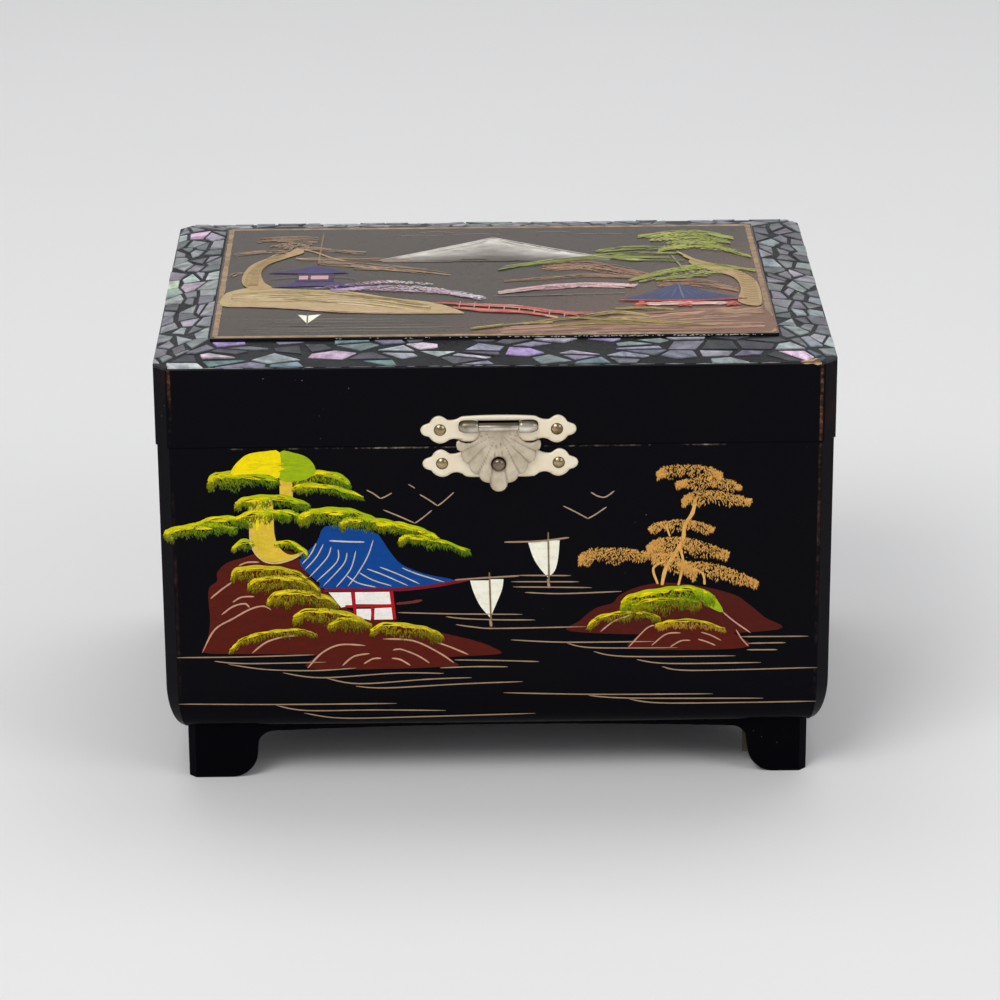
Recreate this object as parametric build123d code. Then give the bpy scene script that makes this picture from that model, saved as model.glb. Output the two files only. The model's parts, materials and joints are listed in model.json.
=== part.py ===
from build123d import *
import math
import os

# Musical jewellery box. Millimetres, +Z up, front towards -Y.
# The origin is on the table, under the middle of the box.

# Overall sizes
LID_WIDTH = 230.0
LID_DEPTH = 166.0
CASE_INSET = 0.5
CORNER_BEVEL = 4.2
BASE_HEIGHT = 20.0
CASE_HEIGHT = 104.7
SEAM_GAP = 0.3
LID_EDGE_ABOVE_SEAM = 28.6

# Wooden case and lid
WALL = 8.0
BOTTOM_THICKNESS = 16.5
BOTTOM_ROUND_IN = 6.6
LID_BOARD_EDGE = 5.0
BORDER_WIDTH = 18.5
BORDER_RISE = 3.0
MOSAIC_THICKNESS = 0.8
PANEL_STEP = 1.2
PANEL_BEVEL = 0.6

# Bracket feet
BASE_INSET = 6.6
BASE_BOARD = 8.0
BASE_BEVEL = 2.5
SOLE_WIDTH = 14.7
FRONT_RIGHT_SOLE_WIDTH = 11.2
FOOT_TOE_RADIUS = 9.5
FOOT_NECK_RADIUS = 6.0
FOOT_STRAIGHT = 2.0
APRON_ARCH = 1.5
BLOCK_SIDE = 14.0
BLOCK_GAP_BELOW = 4.0

# Lining, partitions and deck inside the case
LINING = 1.6
LIP_HEIGHT = 3.0
BAY_WIDTH = 64.5
PARTITION = 4.0
PARTITION_TOP_BELOW_SEAM = 14.0
DIVIDER = 3.0
DIVIDER_HEIGHT = 52.0
DIVIDER_OFFSET = 14.0
PAD_THICKNESS = 4.0
PAD_ROUND = 1.6
PAD_CLEARANCE = 0.3
DECK_ABOVE_FLOOR = 53.5
DECK_THICKNESS = 4.0
LEDGE = 5.0
WINDOW_WIDTH = 46.0
WINDOW_DEPTH = 34.0
WINDOW_AHEAD = 10.0
WINDOW_REBATE = 2.5
PANE_THICKNESS = 1.5
ROLL_COUNT = 5
ROLL_WIDTH = 12.6
ROLL_HEIGHT = 12.0
ROLL_PITCH = 13.6
ROLL_ROUND = 5.8
ROLL_END_CLEARANCE = 1.0
ROLL_FRONT_CLEARANCE = 0.5
RAIL_THICKNESS = 3.0
RAIL_HEIGHT = 9.0

# Mirror in the lid
MIRROR_WIDTH = 164.0
MIRROR_DEPTH = 114.0
MIRROR_THICKNESS = 2.0
MIRROR_CLEARANCE = 0.2
FRAME_THICKNESS = 3.0
LID_LINING_GAP = 2.0

# Hinges at the back
HINGE_X = 68.0
HINGE_WIDTH = 24.0
LEAF_THICKNESS = 0.8
LEAF_HEIGHT = 9.5
KNUCKLE_RADIUS = 1.5
KNUCKLE_OFFSET = 1.9
KNUCKLE_GAP = 0.3
PIN_RADIUS = 0.6
PIN_CLEARANCE = 0.06
LEAF_NOTCH = 0.4
SCREW_SPACING = 15.0
SCREW_DROP = 6.2
SCREW_HEAD_RADIUS = 1.9
SCREW_HEAD_HEIGHT = 0.9
SCREW_SHANK_RADIUS = 0.7
SCREW_SHANK_LENGTH = 5.5
SHANK_HOLE_CLEARANCE = 0.1

# Latch at the front
PLATE_THICKNESS = 0.8
PLATE_LENGTH = 52.5
PLATE_BODY_HEIGHT = 8.4
PLATE_LOBE_X = 19.7
PLATE_LOBE_RADIUS = 4.9
PLATE_TIP_RADIUS = 2.1
PLATE_BODY_LENGTH = 31.0
PLATE_NECK_HEIGHT = 6.4
LATCH_X = 0.8
CATCH_SHIFT = 0.6
LATCH_AXIS_RISE = 7.2
HINGE_PLATE_RISE = 6.0
CATCH_PLATE_DROP = 6.2
EAR_WIDTH = 5.6
BARREL_WIDTH = 13.4
BARREL_SIDE_GAP = 0.3
BARREL_SLOT_CLEARANCE = 0.45
HASP_LENGTH = 22.9
HASP_WING_REACH = 14.2
HASP_WING_DROP = 4.9
HASP_WING_ROUND = 1.3
HASP_LOBES = 3
HASP_LOBE_BULGE = 0.18
HASP_TIP_HALF = 2.4
HASP_NECK_HALF = 6.6
HASP_HOLE_DROP = 13.3
HASP_HOLE_RADIUS = 2.55
STUD_RADIUS = 2.1
STUD_HEIGHT = 3.1

# Musical movement, in its own frame: the drum's axis lies along X over the frame's origin
MOVEMENT_FROM_SIDE = 33.9
MOVEMENT_FROM_BACK = 34.9
BEDPLATE_LEFT = -30.5
BEDPLATE_RIGHT = 25.5
BEDPLATE_WIDTH = 44.5
BEDPLATE_THICKNESS = 2.5
BEDPLATE_ROUND = 3.0
SCREW_INSET = 3.0
BEARING_EYE = 3.5
IDLER_EYE = 2.6
BARREL_X = 13.0
BARREL_RADIUS = 11.8
BARREL_RIM = 1.4
BARREL_WALL = 0.9
BARREL_BASE_Z = 3.2
BARREL_HEIGHT = 8.2
CROWN_TEETH = 40
CROWN_MODULE = 0.55
CROWN_TIP = 0.45
CROWN_ROOT_HALF = 0.42
CROWN_TIP_HALF = 0.22
CROWN_RISE = 0.75
CROWN_SEAT = 0.3
PINION_TEETH = 12
PINION_OVERHANG = 0.6
SHAFT_END = 0.2
ARBOR_RADIUS = 1.5
ARBOR_ABOVE_BARREL = 0.4
RUNNING_CLEARANCE = 0.08
BARREL_COVER_THICKNESS = 0.6
SPRING_STRIP = 0.45
SPRING_PITCH = 1.0
SPRING_TURNS = 8
SPRING_CLEARANCE = 0.3
DRUM_RADIUS = 6.5
DRUM_LENGTH = 18.6
DRUM_WALL = 0.7
DRUM_START = -1.3
BRACKET_GAP = 0.4
PIN_ROWS = 18
PINS_PER_ROW = 6
DRUM_PIN_RADIUS = 0.2
DRUM_PIN_HEIGHT = 0.45
SHAFT_RADIUS = 0.9
IDLER_SHAFT_RADIUS = 0.7
GOVERNOR_SHAFT_RADIUS = 0.5
WHEEL_MODULE = 0.35
WHEEL_TEETH = 40
IDLER_TEETH = 8
IDLER_ANGLE = -31.0
WHEEL_THICKNESS = 1.4
WHEEL_GAP = 0.3
TRAIN_GAP = 0.6
BRACKET_THICKNESS = 1.4
WORM_MODULE = 0.4
WORM_WHEEL_TEETH = 24
WORM_WHEEL_THICKNESS = 1.0
WORM_WHEEL_GAP = 1.4
WORM_PITCH_RADIUS = 1.4
WORM_CORE_RADIUS = 0.8
WORM_TURNS = 4
CHEEK_GAP = 2.6
THREAD_SINK = 0.1
THREAD_HEIGHT = 0.9
THREAD_ROOT_WIDTH = 0.55
THREAD_TIP_WIDTH = 0.32
GOVERNOR_BEARING_SKIN = 0.5
FAN_RADIUS = 5.0
FAN_HUB_RADIUS = 1.1
FAN_HEIGHT = 5.0
FAN_THICKNESS = 0.4
FAN_Z = 16.8
DISC_RADIUS = 4.0
DISC_THICKNESS = 0.7
DISC_GAP = 0.3
GOVERNOR_TOP_Z = 28.0
FRAME_HALF_WIDTH = 2.0
FRAME_STRIP = 1.4
FRAME_TONGUE = 1.8
FRAME_FAN_GAP = 1.2
SHAFT_PLAY = 0.1
SHAFT_ABOVE_FRAME = 0.8
COMB_TIP_GAP = 0.15
COMB_LENGTH = 15.0
COMB_SLOT_LENGTH = 7.5
COMB_SLOT = 0.3
COMB_THICKNESS = 0.8
COMB_BLOCK_DEPTH = 7.0
COMB_SCREW_REACH = 6.0
COMB_SCREW_HEAD_HEIGHT = 1.2
COMB_SCREW_SLOT = 0.5
COMB_SCREW_SHARES = (0.2, 0.8)
STOP_ROD_X = -17.6
STOP_ROD_RADIUS = 0.8
STOP_TRAVEL = 3.0
STOP_GAP = 0.3
STOP_ROD_ABOVE_LIP = 1.2
STOP_ROD_FOOT = 2.0
STOP_FINGER_RADIUS = 0.5
STOP_FINGER_OVER_DISC = 1.6
STOP_COLLAR_RADIUS = 1.9
STOP_COLLAR_HEIGHT = 1.0
STOP_COLLAR_BELOW_FINGER = 1.6
GUIDE_TUBE_RADIUS = 1.7
GUIDE_TUBE_TOP = 13.0
COIL_WIRE = 0.22
COIL_RADIUS = 1.35
COIL_PITCH = 1.2
COIL_SEAT_GAP = 0.05
PUSHER_SIDE = 8.0

# Winding key under the box
KEY_HUB_RADIUS = 3.0
KEY_HUB_TOP_GAP = 1.0
KEY_HUB_HEIGHT = 8.0
KEY_GRIP = 5.6
KEY_WING_LOBE = 4.6
KEY_WING_SPREAD = 6.4
KEY_WING_OVERLAP = 2.6
KEY_WEB = 6.0
KEY_WING_THICKNESS = 1.8
KEY_HOLE_RADIUS = 1.6
KEY_CLEARANCE = 0.4

# Places worked out from the sizes above
SHANK_HOLE_RADIUS = SCREW_SHANK_RADIUS + SHANK_HOLE_CLEARANCE
HALF_X = LID_WIDTH / 2
HALF_Y = LID_DEPTH / 2
CASE_X = HALF_X - CASE_INSET
CASE_Y = HALF_Y - CASE_INSET
INNER_X = CASE_X - WALL
INNER_Y = CASE_Y - WALL
LINED_X = INNER_X - LINING
LINED_Y = INNER_Y - LINING
LID_INNER_X = HALF_X - WALL
LID_INNER_Y = HALF_Y - WALL
FLOOR = BASE_HEIGHT + BOTTOM_THICKNESS
SEAM_HEIGHT = BASE_HEIGHT + CASE_HEIGHT
LID_EDGE_HEIGHT = SEAM_HEIGHT + LID_EDGE_ABOVE_SEAM
DECK_HEIGHT = FLOOR + DECK_ABOVE_FLOOR
LID_BOTTOM = SEAM_HEIGHT + SEAM_GAP
LIP_TOP = SEAM_HEIGHT + LIP_HEIGHT
SUBSTRATE_EDGE = LID_EDGE_HEIGHT - MOSAIC_THICKNESS
RAIL_TOP = SUBSTRATE_EDGE - LID_BOARD_EDGE
SUBSTRATE_TOP = SUBSTRATE_EDGE + BORDER_RISE
MOSAIC_TOP = LID_EDGE_HEIGHT + BORDER_RISE
PANEL_TOP = MOSAIC_TOP + PANEL_STEP
BAY_INNER_X = BAY_WIDTH - LINED_X
MOVEMENT_X = MOVEMENT_FROM_SIDE - LINED_X
MOVEMENT_Y = LINED_Y - MOVEMENT_FROM_BACK
WINDOW_Y = MOVEMENT_Y - WINDOW_AHEAD
WELL_LEFT = BAY_INNER_X + PARTITION
DECK_TOP = DECK_HEIGHT + DECK_THICKNESS
AXIS_Y = HALF_Y + KNUCKLE_OFFSET
AXIS_Z = SEAM_HEIGHT + SEAM_GAP / 2
LATCH_AXIS_Z = SEAM_HEIGHT + LATCH_AXIS_RISE
HINGE_PLATE_Z = SEAM_HEIGHT + HINGE_PLATE_RISE
CATCH_PLATE_Z = SEAM_HEIGHT - CATCH_PLATE_DROP
CATCH_X = LATCH_X + CATCH_SHIFT
STUD_Z = LATCH_AXIS_Z - HASP_HOLE_DROP
CROWN_PITCH_RADIUS = CROWN_TEETH * CROWN_MODULE / 2
PINION_PITCH_RADIUS = PINION_TEETH * CROWN_MODULE / 2
CROWN_PITCH_Z = BARREL_BASE_Z + BARREL_HEIGHT + CROWN_RISE
DRUM_Z = CROWN_PITCH_Z + PINION_PITCH_RADIUS
IDLER_DISTANCE = (WHEEL_TEETH + IDLER_TEETH) * WHEEL_MODULE / 2
IDLER_Y = IDLER_DISTANCE * math.cos(math.radians(IDLER_ANGLE))
IDLER_Z = DRUM_Z + IDLER_DISTANCE * math.sin(math.radians(IDLER_ANGLE))
WORM_WHEEL_RADIUS = WORM_WHEEL_TEETH * WORM_MODULE / 2
WORM_PITCH = math.pi * WORM_MODULE
DRUM_END = DRUM_START - DRUM_LENGTH
WHEEL_X = DRUM_END - WHEEL_GAP - WHEEL_THICKNESS
BRACKET_B_X = WHEEL_X - TRAIN_GAP - BRACKET_THICKNESS
GOVERNOR_X = BRACKET_B_X - WORM_WHEEL_GAP
GOVERNOR_Y = IDLER_Y + WORM_WHEEL_RADIUS + WORM_PITCH_RADIUS
DISC_Z = FAN_Z + FAN_HEIGHT + DISC_GAP
FINGER_Z = DISC_Z + DISC_THICKNESS + STOP_GAP
COLLAR_Z = FINGER_Z - STOP_COLLAR_BELOW_FINGER
COMB_Z = DRUM_Z - COMB_THICKNESS
STOP_ROD_TOP = LIP_TOP + STOP_ROD_ABOVE_LIP
KEY_HUB_TOP = BASE_HEIGHT - KEY_HUB_TOP_GAP


def span(x0, x1, y0, y1, z0, z1):
    """A block between two corners."""
    return Pos((x0 + x1) / 2, (y0 + y1) / 2, (z0 + z1) / 2) * Box(x1 - x0, y1 - y0, z1 - z0)


def bevelled_outline(half_x, half_y, bevel):
    """A rectangle in plan with its corners cut at 45 degrees."""
    corners = []
    for sx, sy in ((1, 1), (-1, 1), (-1, -1), (1, -1)):
        along_x = (sx * (half_x - bevel), sy * half_y)
        along_y = (sx * half_x, sy * (half_y - bevel))
        corners += [along_y, along_x] if sx * sy > 0 else [along_x, along_y]
    return make_face(Polyline(*corners, close=True))


def bevelled_prism(half_x, half_y, bevel, z0, z1):
    return Pos(0, 0, z0) * extrude(bevelled_outline(half_x, half_y, bevel), z1 - z0)


def mitred_sides(ring, half_x, half_y, depth, z0, z1):
    """Cuts a rectangular ring at its corners into front, back, left and right pieces."""
    in_x, in_y = half_x - depth, half_y - depth
    outlines = {
        "front": [(-half_x, -half_y), (half_x, -half_y), (in_x, -in_y), (-in_x, -in_y)],
        "right": [(half_x, -half_y), (half_x, half_y), (in_x, in_y), (in_x, -in_y)],
    }
    outlines["back"] = [(-x, -y) for x, y in outlines["front"]]
    outlines["left"] = [(-x, -y) for x, y in outlines["right"]]
    sides = {}
    for name, points in outlines.items():
        wedge = Pos(0, 0, z0) * extrude(make_face(Polyline(*points, close=True)), z1 - z0)
        sides[name] = ring & wedge
    return sides


def rod_x(x0, x1, y, z, radius):
    return Pos((x0 + x1) / 2, y, z) * Rot(0, 90, 0) * Cylinder(radius, x1 - x0)


def rod_y(x, y0, y1, z, radius):
    return Pos(x, (y0 + y1) / 2, z) * Rot(90, 0, 0) * Cylinder(radius, y1 - y0)


def rod_z(x, y, z0, z1, radius):
    return Pos(x, y, (z0 + z1) / 2) * Cylinder(radius, z1 - z0)


def group(solids):
    """Several separate solids that share one node."""
    return Compound(children=[s.solid() if len(s.solids()) == 1 else s for s in solids])


# Case


def rounded_bottom_profile(half):
    """Section of the bottom board: straight at the top, drawn in by an elliptical round below."""
    centre_x = half - BOTTOM_ROUND_IN
    radii = (BOTTOM_ROUND_IN, BOTTOM_THICKNESS)
    left = EllipticalCenterArc((-centre_x, FLOOR), *radii, 180, arc_size=90)
    right = EllipticalCenterArc((centre_x, FLOOR), *radii, 270, arc_size=90)
    base = Line(left @ 1, right @ 0)
    top = Line(right @ 1, left @ 0)
    return make_face([left, base, right, top])


def bottom_board():
    reach = 2 * (CASE_X + CASE_Y)
    across = Plane.XZ * rounded_bottom_profile(CASE_X)
    along = Plane.YZ * rounded_bottom_profile(CASE_Y)
    board = extrude(across, reach, both=True) & extrude(along, reach, both=True)
    diagonal = (CASE_X + CASE_Y - CORNER_BEVEL) / math.sqrt(2)
    slant = extrude(Plane.XZ * rounded_bottom_profile(diagonal), reach, both=True)
    for turn in (45, -45):
        board &= Rot(0, 0, turn) * slant
    board -= rod_z(key_x(), MOVEMENT_Y, BASE_HEIGHT, FLOOR, ARBOR_RADIUS + KEY_CLEARANCE)
    for x, y in movement_screw_places():
        board -= rod_z(x, y, BASE_HEIGHT, FLOOR, SCREW_SHANK_RADIUS)
    return board


def case_walls():
    outer = bevelled_prism(CASE_X, CASE_Y, CORNER_BEVEL, FLOOR, SEAM_HEIGHT)
    ring = outer - span(-INNER_X, INNER_X, -INNER_Y, INNER_Y, FLOOR, SEAM_HEIGHT)
    walls = mitred_sides(ring, CASE_X, CASE_Y, WALL * 1.2, FLOOR, SEAM_HEIGHT)
    for x in (CATCH_X - PLATE_LOBE_X, CATCH_X + PLATE_LOBE_X):
        walls["front"] -= nail_shank(x, CATCH_PLATE_Z, -CASE_Y, 1)
    walls["front"] -= nail_shank(LATCH_X, STUD_Z, -CASE_Y, 1)
    for x in hinge_screw_xs():
        walls["back"] -= nail_shank(x, AXIS_Z - SCREW_DROP, CASE_Y, -1)
    return walls


# Bracket feet


def bracket_profile(length, right_sole_width=SOLE_WIDTH):
    """Board with a foot at each end: flat sole, round toe, hollow neck and a low arch between."""
    end = length / 2
    neck_z = FOOT_TOE_RADIUS + FOOT_STRAIGHT
    apron_z = neck_z + FOOT_NECK_RADIUS
    edges, springs = [], []
    for s, sole_width in ((-1, SOLE_WIDTH), (1, right_sole_width)):
        toe_u = end - sole_width - FOOT_TOE_RADIUS
        neck_u = toe_u - FOOT_NECK_RADIUS
        sole = Line((s * end, 0), (s * (end - sole_width), 0))
        toe = CenterArc((s * (end - sole_width), FOOT_TOE_RADIUS), FOOT_TOE_RADIUS, 270, -90 * s)
        rise = Line((s * toe_u, FOOT_TOE_RADIUS), (s * toe_u, neck_z))
        neck = CenterArc((s * neck_u, neck_z), FOOT_NECK_RADIUS, 0 if s > 0 else 180, 90 * s)
        side = Line((s * end, 0), (s * end, BASE_HEIGHT))
        edges += [sole, toe, rise, neck, side]
        springs.append((s * neck_u, apron_z))
    arch = ThreePointArc(springs[0], (0, apron_z + APRON_ARCH), springs[1])
    top = Line((-end, BASE_HEIGHT), (end, BASE_HEIGHT))
    return make_face(edges + [arch, top])


def base_boards():
    half_x, half_y = CASE_X - BASE_INSET, CASE_Y - BASE_INSET
    front_profile = bracket_profile(2 * half_x, FRONT_RIGHT_SOLE_WIDTH)
    front = extrude(Plane.XZ * front_profile, BASE_BOARD / 2, both=True)
    back = extrude(Plane.XZ * bracket_profile(2 * half_x), BASE_BOARD / 2, both=True)
    side = extrude(Plane.YZ * bracket_profile(2 * half_y), BASE_BOARD / 2, both=True)
    placed = {
        "front": Pos(0, BASE_BOARD / 2 - half_y, 0) * front,
        "back": Pos(0, half_y - BASE_BOARD / 2, 0) * back,
        "left": Pos(BASE_BOARD / 2 - half_x, 0, 0) * side,
        "right": Pos(half_x - BASE_BOARD / 2, 0, 0) * side,
    }
    wedge = bevelled_prism(half_x, half_y, BASE_BEVEL, 0, BASE_HEIGHT)
    cut = mitred_sides(wedge, half_x, half_y, BASE_BOARD * 1.2, 0, BASE_HEIGHT)
    return {name: board & cut[name] for name, board in placed.items()}


def base_corner_blocks():
    x1, y1 = CASE_X - BASE_INSET - BASE_BOARD, CASE_Y - BASE_INSET - BASE_BOARD
    x0, y0 = x1 - BLOCK_SIDE, y1 - BLOCK_SIDE
    corner = make_face(Polyline((x1, y1), (x0, y1), (x1, y0), close=True))
    block = Pos(0, 0, BLOCK_GAP_BELOW) * extrude(corner, BASE_HEIGHT - BLOCK_GAP_BELOW)
    blocks = [block, mirror(block, Plane.YZ), mirror(block, Plane.XZ)]
    blocks.append(mirror(blocks[1], Plane.XZ))
    return group(blocks)


# Lining and fittings inside the case


def wall_linings():
    outer = span(-INNER_X, INNER_X, -INNER_Y, INNER_Y, FLOOR, LIP_TOP)
    ring = outer - span(-LINED_X, LINED_X, -LINED_Y, LINED_Y, FLOOR, LIP_TOP)
    return group(mitred_sides(ring, INNER_X, INNER_Y, LINING * 1.5, FLOOR, LIP_TOP).values())


def bay_partition():
    top = SEAM_HEIGHT - PARTITION_TOP_BELOW_SEAM
    return span(BAY_INNER_X, WELL_LEFT, -LINED_Y, LINED_Y, FLOOR, top)


def well_divider():
    y0 = DIVIDER_OFFSET - DIVIDER / 2
    return span(WELL_LEFT, LINED_X, y0, y0 + DIVIDER, FLOOR, FLOOR + DIVIDER_HEIGHT)


def floor_pad(y0, y1):
    """Padded floor of one compartment, with soft upper edges."""
    gap = PAD_CLEARANCE
    pad = span(WELL_LEFT + gap, LINED_X - gap, y0 + gap, y1 - gap, FLOOR, FLOOR + PAD_THICKNESS)
    return fillet(pad.faces().sort_by(Axis.Z)[-1].edges(), PAD_ROUND)


def deck_ledges():
    z0 = DECK_HEIGHT - LEDGE
    left = span(-LINED_X, LEDGE - LINED_X, -LINED_Y, LINED_Y, z0, DECK_HEIGHT)
    right = span(BAY_INNER_X - LEDGE, BAY_INNER_X, -LINED_Y, LINED_Y, z0, DECK_HEIGHT)
    return group([left, right])


def window_span(margin, z0, z1):
    x = (BAY_INNER_X - LINED_X) / 2
    half_w, half_d = WINDOW_WIDTH / 2 + margin, WINDOW_DEPTH / 2 + margin
    return span(x - half_w, x + half_w, WINDOW_Y - half_d, WINDOW_Y + half_d, z0, z1)


def deck_board():
    deck = span(-LINED_X, BAY_INNER_X, -LINED_Y, LINED_Y, DECK_HEIGHT, DECK_TOP)
    deck -= window_span(0, DECK_HEIGHT, DECK_TOP)
    deck -= window_span(WINDOW_REBATE, DECK_TOP - PANE_THICKNESS, DECK_TOP)
    x, y = stop_rod_place()
    return deck - rod_z(x, y, DECK_HEIGHT, DECK_TOP, STOP_ROD_RADIUS + RUNNING_CLEARANCE)


def window_pane():
    return window_span(WINDOW_REBATE, DECK_TOP - PANE_THICKNESS, DECK_TOP)


def ring_rolls():
    """Padded rolls that grip rings between them, side by side at the front of the deck."""
    rolls = []
    for k in range(ROLL_COUNT):
        y0 = ROLL_FRONT_CLEARANCE - LINED_Y + k * ROLL_PITCH
        roll = span(
            ROLL_END_CLEARANCE - LINED_X,
            BAY_INNER_X - ROLL_END_CLEARANCE,
            y0,
            y0 + ROLL_WIDTH,
            DECK_TOP,
            DECK_TOP + ROLL_HEIGHT,
        )
        crown = roll.faces().sort_by(Axis.Z)[-1].edges().filter_by(Axis.X)
        rolls.append(fillet(crown, ROLL_ROUND))
    return group(rolls)


def ring_rail():
    y0 = ROLL_FRONT_CLEARANCE - LINED_Y + ROLL_COUNT * ROLL_PITCH
    return span(-LINED_X, BAY_INNER_X, y0, y0 + RAIL_THICKNESS, DECK_TOP, DECK_TOP + RAIL_HEIGHT)


# Lid


def lid_rails():
    outer = bevelled_prism(HALF_X, HALF_Y, CORNER_BEVEL, LID_BOTTOM, RAIL_TOP)
    ring = outer - span(-LID_INNER_X, LID_INNER_X, -LID_INNER_Y, LID_INNER_Y, LID_BOTTOM, RAIL_TOP)
    rails = mitred_sides(ring, HALF_X, HALF_Y, WALL * 1.2, LID_BOTTOM, RAIL_TOP)
    for x in (LATCH_X - PLATE_LOBE_X, LATCH_X + PLATE_LOBE_X):
        rails["front"] -= nail_shank(x, HINGE_PLATE_Z, -HALF_Y, 1)
    for x in hinge_screw_xs():
        rails["back"] -= nail_shank(x, AXIS_Z + SCREW_DROP, HALF_Y, -1)
    return rails


def hipped_top(edge_z):
    """Solid under a sloping border that rises from edge_z to a flat middle."""
    low = Pos(0, 0, edge_z) * bevelled_outline(HALF_X, HALF_Y, CORNER_BEVEL)
    inner = bevelled_outline(HALF_X - BORDER_WIDTH, HALF_Y - BORDER_WIDTH, PANEL_BEVEL)
    return loft([low, Pos(0, 0, edge_z + BORDER_RISE) * inner], ruled=True)


def lid_top_board():
    edge_band = bevelled_prism(HALF_X, HALF_Y, CORNER_BEVEL, RAIL_TOP, SUBSTRATE_EDGE)
    return edge_band + hipped_top(SUBSTRATE_EDGE)


def picture_prism(z0, z1):
    return bevelled_prism(HALF_X - BORDER_WIDTH, HALF_Y - BORDER_WIDTH, PANEL_BEVEL, z0, z1)


def shell_mosaic():
    """Layer of shell chips on the sloping border, in four mitred strips."""
    edge_band = bevelled_prism(HALF_X, HALF_Y, CORNER_BEVEL, SUBSTRATE_EDGE, LID_EDGE_HEIGHT)
    layer = edge_band + hipped_top(LID_EDGE_HEIGHT) - hipped_top(SUBSTRATE_EDGE)
    layer -= picture_prism(SUBSTRATE_EDGE, MOSAIC_TOP)
    strips = mitred_sides(layer, HALF_X, HALF_Y, BORDER_WIDTH * 1.2, SUBSTRATE_EDGE, MOSAIC_TOP)
    return group(strips.values())


def picture_panel():
    return picture_prism(SUBSTRATE_TOP, PANEL_TOP)


def lid_linings():
    z0 = LIP_TOP + LID_LINING_GAP
    outer = span(-LID_INNER_X, LID_INNER_X, -LID_INNER_Y, LID_INNER_Y, z0, RAIL_TOP)
    inner_x, inner_y = LID_INNER_X - LINING, LID_INNER_Y - LINING
    ring = outer - span(-inner_x, inner_x, -inner_y, inner_y, z0, RAIL_TOP)
    return group(mitred_sides(ring, LID_INNER_X, LID_INNER_Y, LINING * 1.5, z0, RAIL_TOP).values())


def mirror_frame():
    half_x, half_y = LID_INNER_X - LINING, LID_INNER_Y - LINING
    z0 = RAIL_TOP - FRAME_THICKNESS
    frame = span(-half_x, half_x, -half_y, half_y, z0, RAIL_TOP)
    open_x = MIRROR_WIDTH / 2 + MIRROR_CLEARANCE
    open_y = MIRROR_DEPTH / 2 + MIRROR_CLEARANCE
    return frame - span(-open_x, open_x, -open_y, open_y, z0, RAIL_TOP)


def lid_mirror():
    half_x, half_y = MIRROR_WIDTH / 2, MIRROR_DEPTH / 2
    return span(-half_x, half_x, -half_y, half_y, RAIL_TOP - MIRROR_THICKNESS, RAIL_TOP)


def stop_pusher():
    """Block in the lid that holds the music's stop rod down while the lid is shut."""
    x, y = stop_rod_place()
    half = PUSHER_SIDE / 2
    z1 = RAIL_TOP - FRAME_THICKNESS
    return span(x - half, x + half, y - half, y + half, STOP_ROD_TOP + STOP_GAP, z1)


# Nails, screws and hinges


def nail_shank(x, z, face_y, inward):
    """Hole in the wood for one shank, from the face inwards."""
    ends = sorted((face_y, face_y + inward * SCREW_SHANK_LENGTH))
    return rod_y(x, ends[0], ends[1], z, SCREW_SHANK_RADIUS)


def domed_nail(x, z, face_y, inward):
    """Round-headed nail: its head sits on a plate whose outer face is face_y."""
    sphere_radius = (SCREW_HEAD_RADIUS**2 + SCREW_HEAD_HEIGHT**2) / (2 * SCREW_HEAD_HEIGHT)
    centre_y = face_y + inward * (sphere_radius - SCREW_HEAD_HEIGHT)
    head = Pos(x, centre_y, z) * Sphere(sphere_radius)
    ends = sorted((face_y, face_y - inward * SCREW_HEAD_HEIGHT))
    half = SCREW_HEAD_RADIUS * 1.1
    head &= span(x - half, x + half, ends[0], ends[1], z - half, z + half)
    length = SCREW_SHANK_LENGTH + LEAF_THICKNESS
    ends = sorted((face_y, face_y + inward * length))
    return head + rod_y(x, ends[0], ends[1], z, SCREW_SHANK_RADIUS)


def hinge_screw_xs():
    return [s * HINGE_X + t * SCREW_SPACING / 2 for s in (-1, 1) for t in (-1, 1)]


def hinge_leaf(centre_x, upper):
    """One leaf: the upper one carries the middle knuckle, the lower one the two outer knuckles."""
    knuckle = (HINGE_WIDTH - 2 * KNUCKLE_GAP) / 3
    middle = (centre_x - knuckle / 2, centre_x + knuckle / 2)
    left = (centre_x - HINGE_WIDTH / 2, middle[0] - KNUCKLE_GAP)
    right = (middle[1] + KNUCKLE_GAP, centre_x + HINGE_WIDTH / 2)
    up = 1 if upper else -1
    face_y = HALF_Y if upper else CASE_Y
    notch = KNUCKLE_RADIUS + LEAF_NOTCH
    plate_z = sorted((AXIS_Z + up * notch, AXIS_Z + up * LEAF_HEIGHT))
    front_y = face_y + LEAF_THICKNESS
    half = HINGE_WIDTH / 2
    leaf = span(centre_x - half, centre_x + half, face_y, front_y, *plate_z)
    reach_y = AXIS_Y - KNUCKLE_RADIUS + LEAF_THICKNESS
    for x0, x1 in [middle] if upper else [left, right]:
        leaf += span(x0, x1, face_y, front_y, *sorted((AXIS_Z, AXIS_Z + up * notch)))
        leaf += span(x0, x1, face_y, reach_y, *sorted((AXIS_Z, AXIS_Z + up * LEAF_THICKNESS)))
        leaf += rod_x(x0, x1, AXIS_Y, AXIS_Z, KNUCKLE_RADIUS)
    bore = PIN_RADIUS + PIN_CLEARANCE if upper else PIN_RADIUS
    leaf -= rod_x(left[0], right[1], AXIS_Y, AXIS_Z, bore)
    for t in (-1, 1):
        hole_x = centre_x + t * SCREW_SPACING / 2
        leaf -= rod_y(hole_x, face_y, front_y, AXIS_Z + up * SCREW_DROP, SHANK_HOLE_RADIUS)
    return leaf


def hinge_leaves(upper):
    return group([hinge_leaf(-HINGE_X, upper), hinge_leaf(HINGE_X, upper)])


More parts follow.
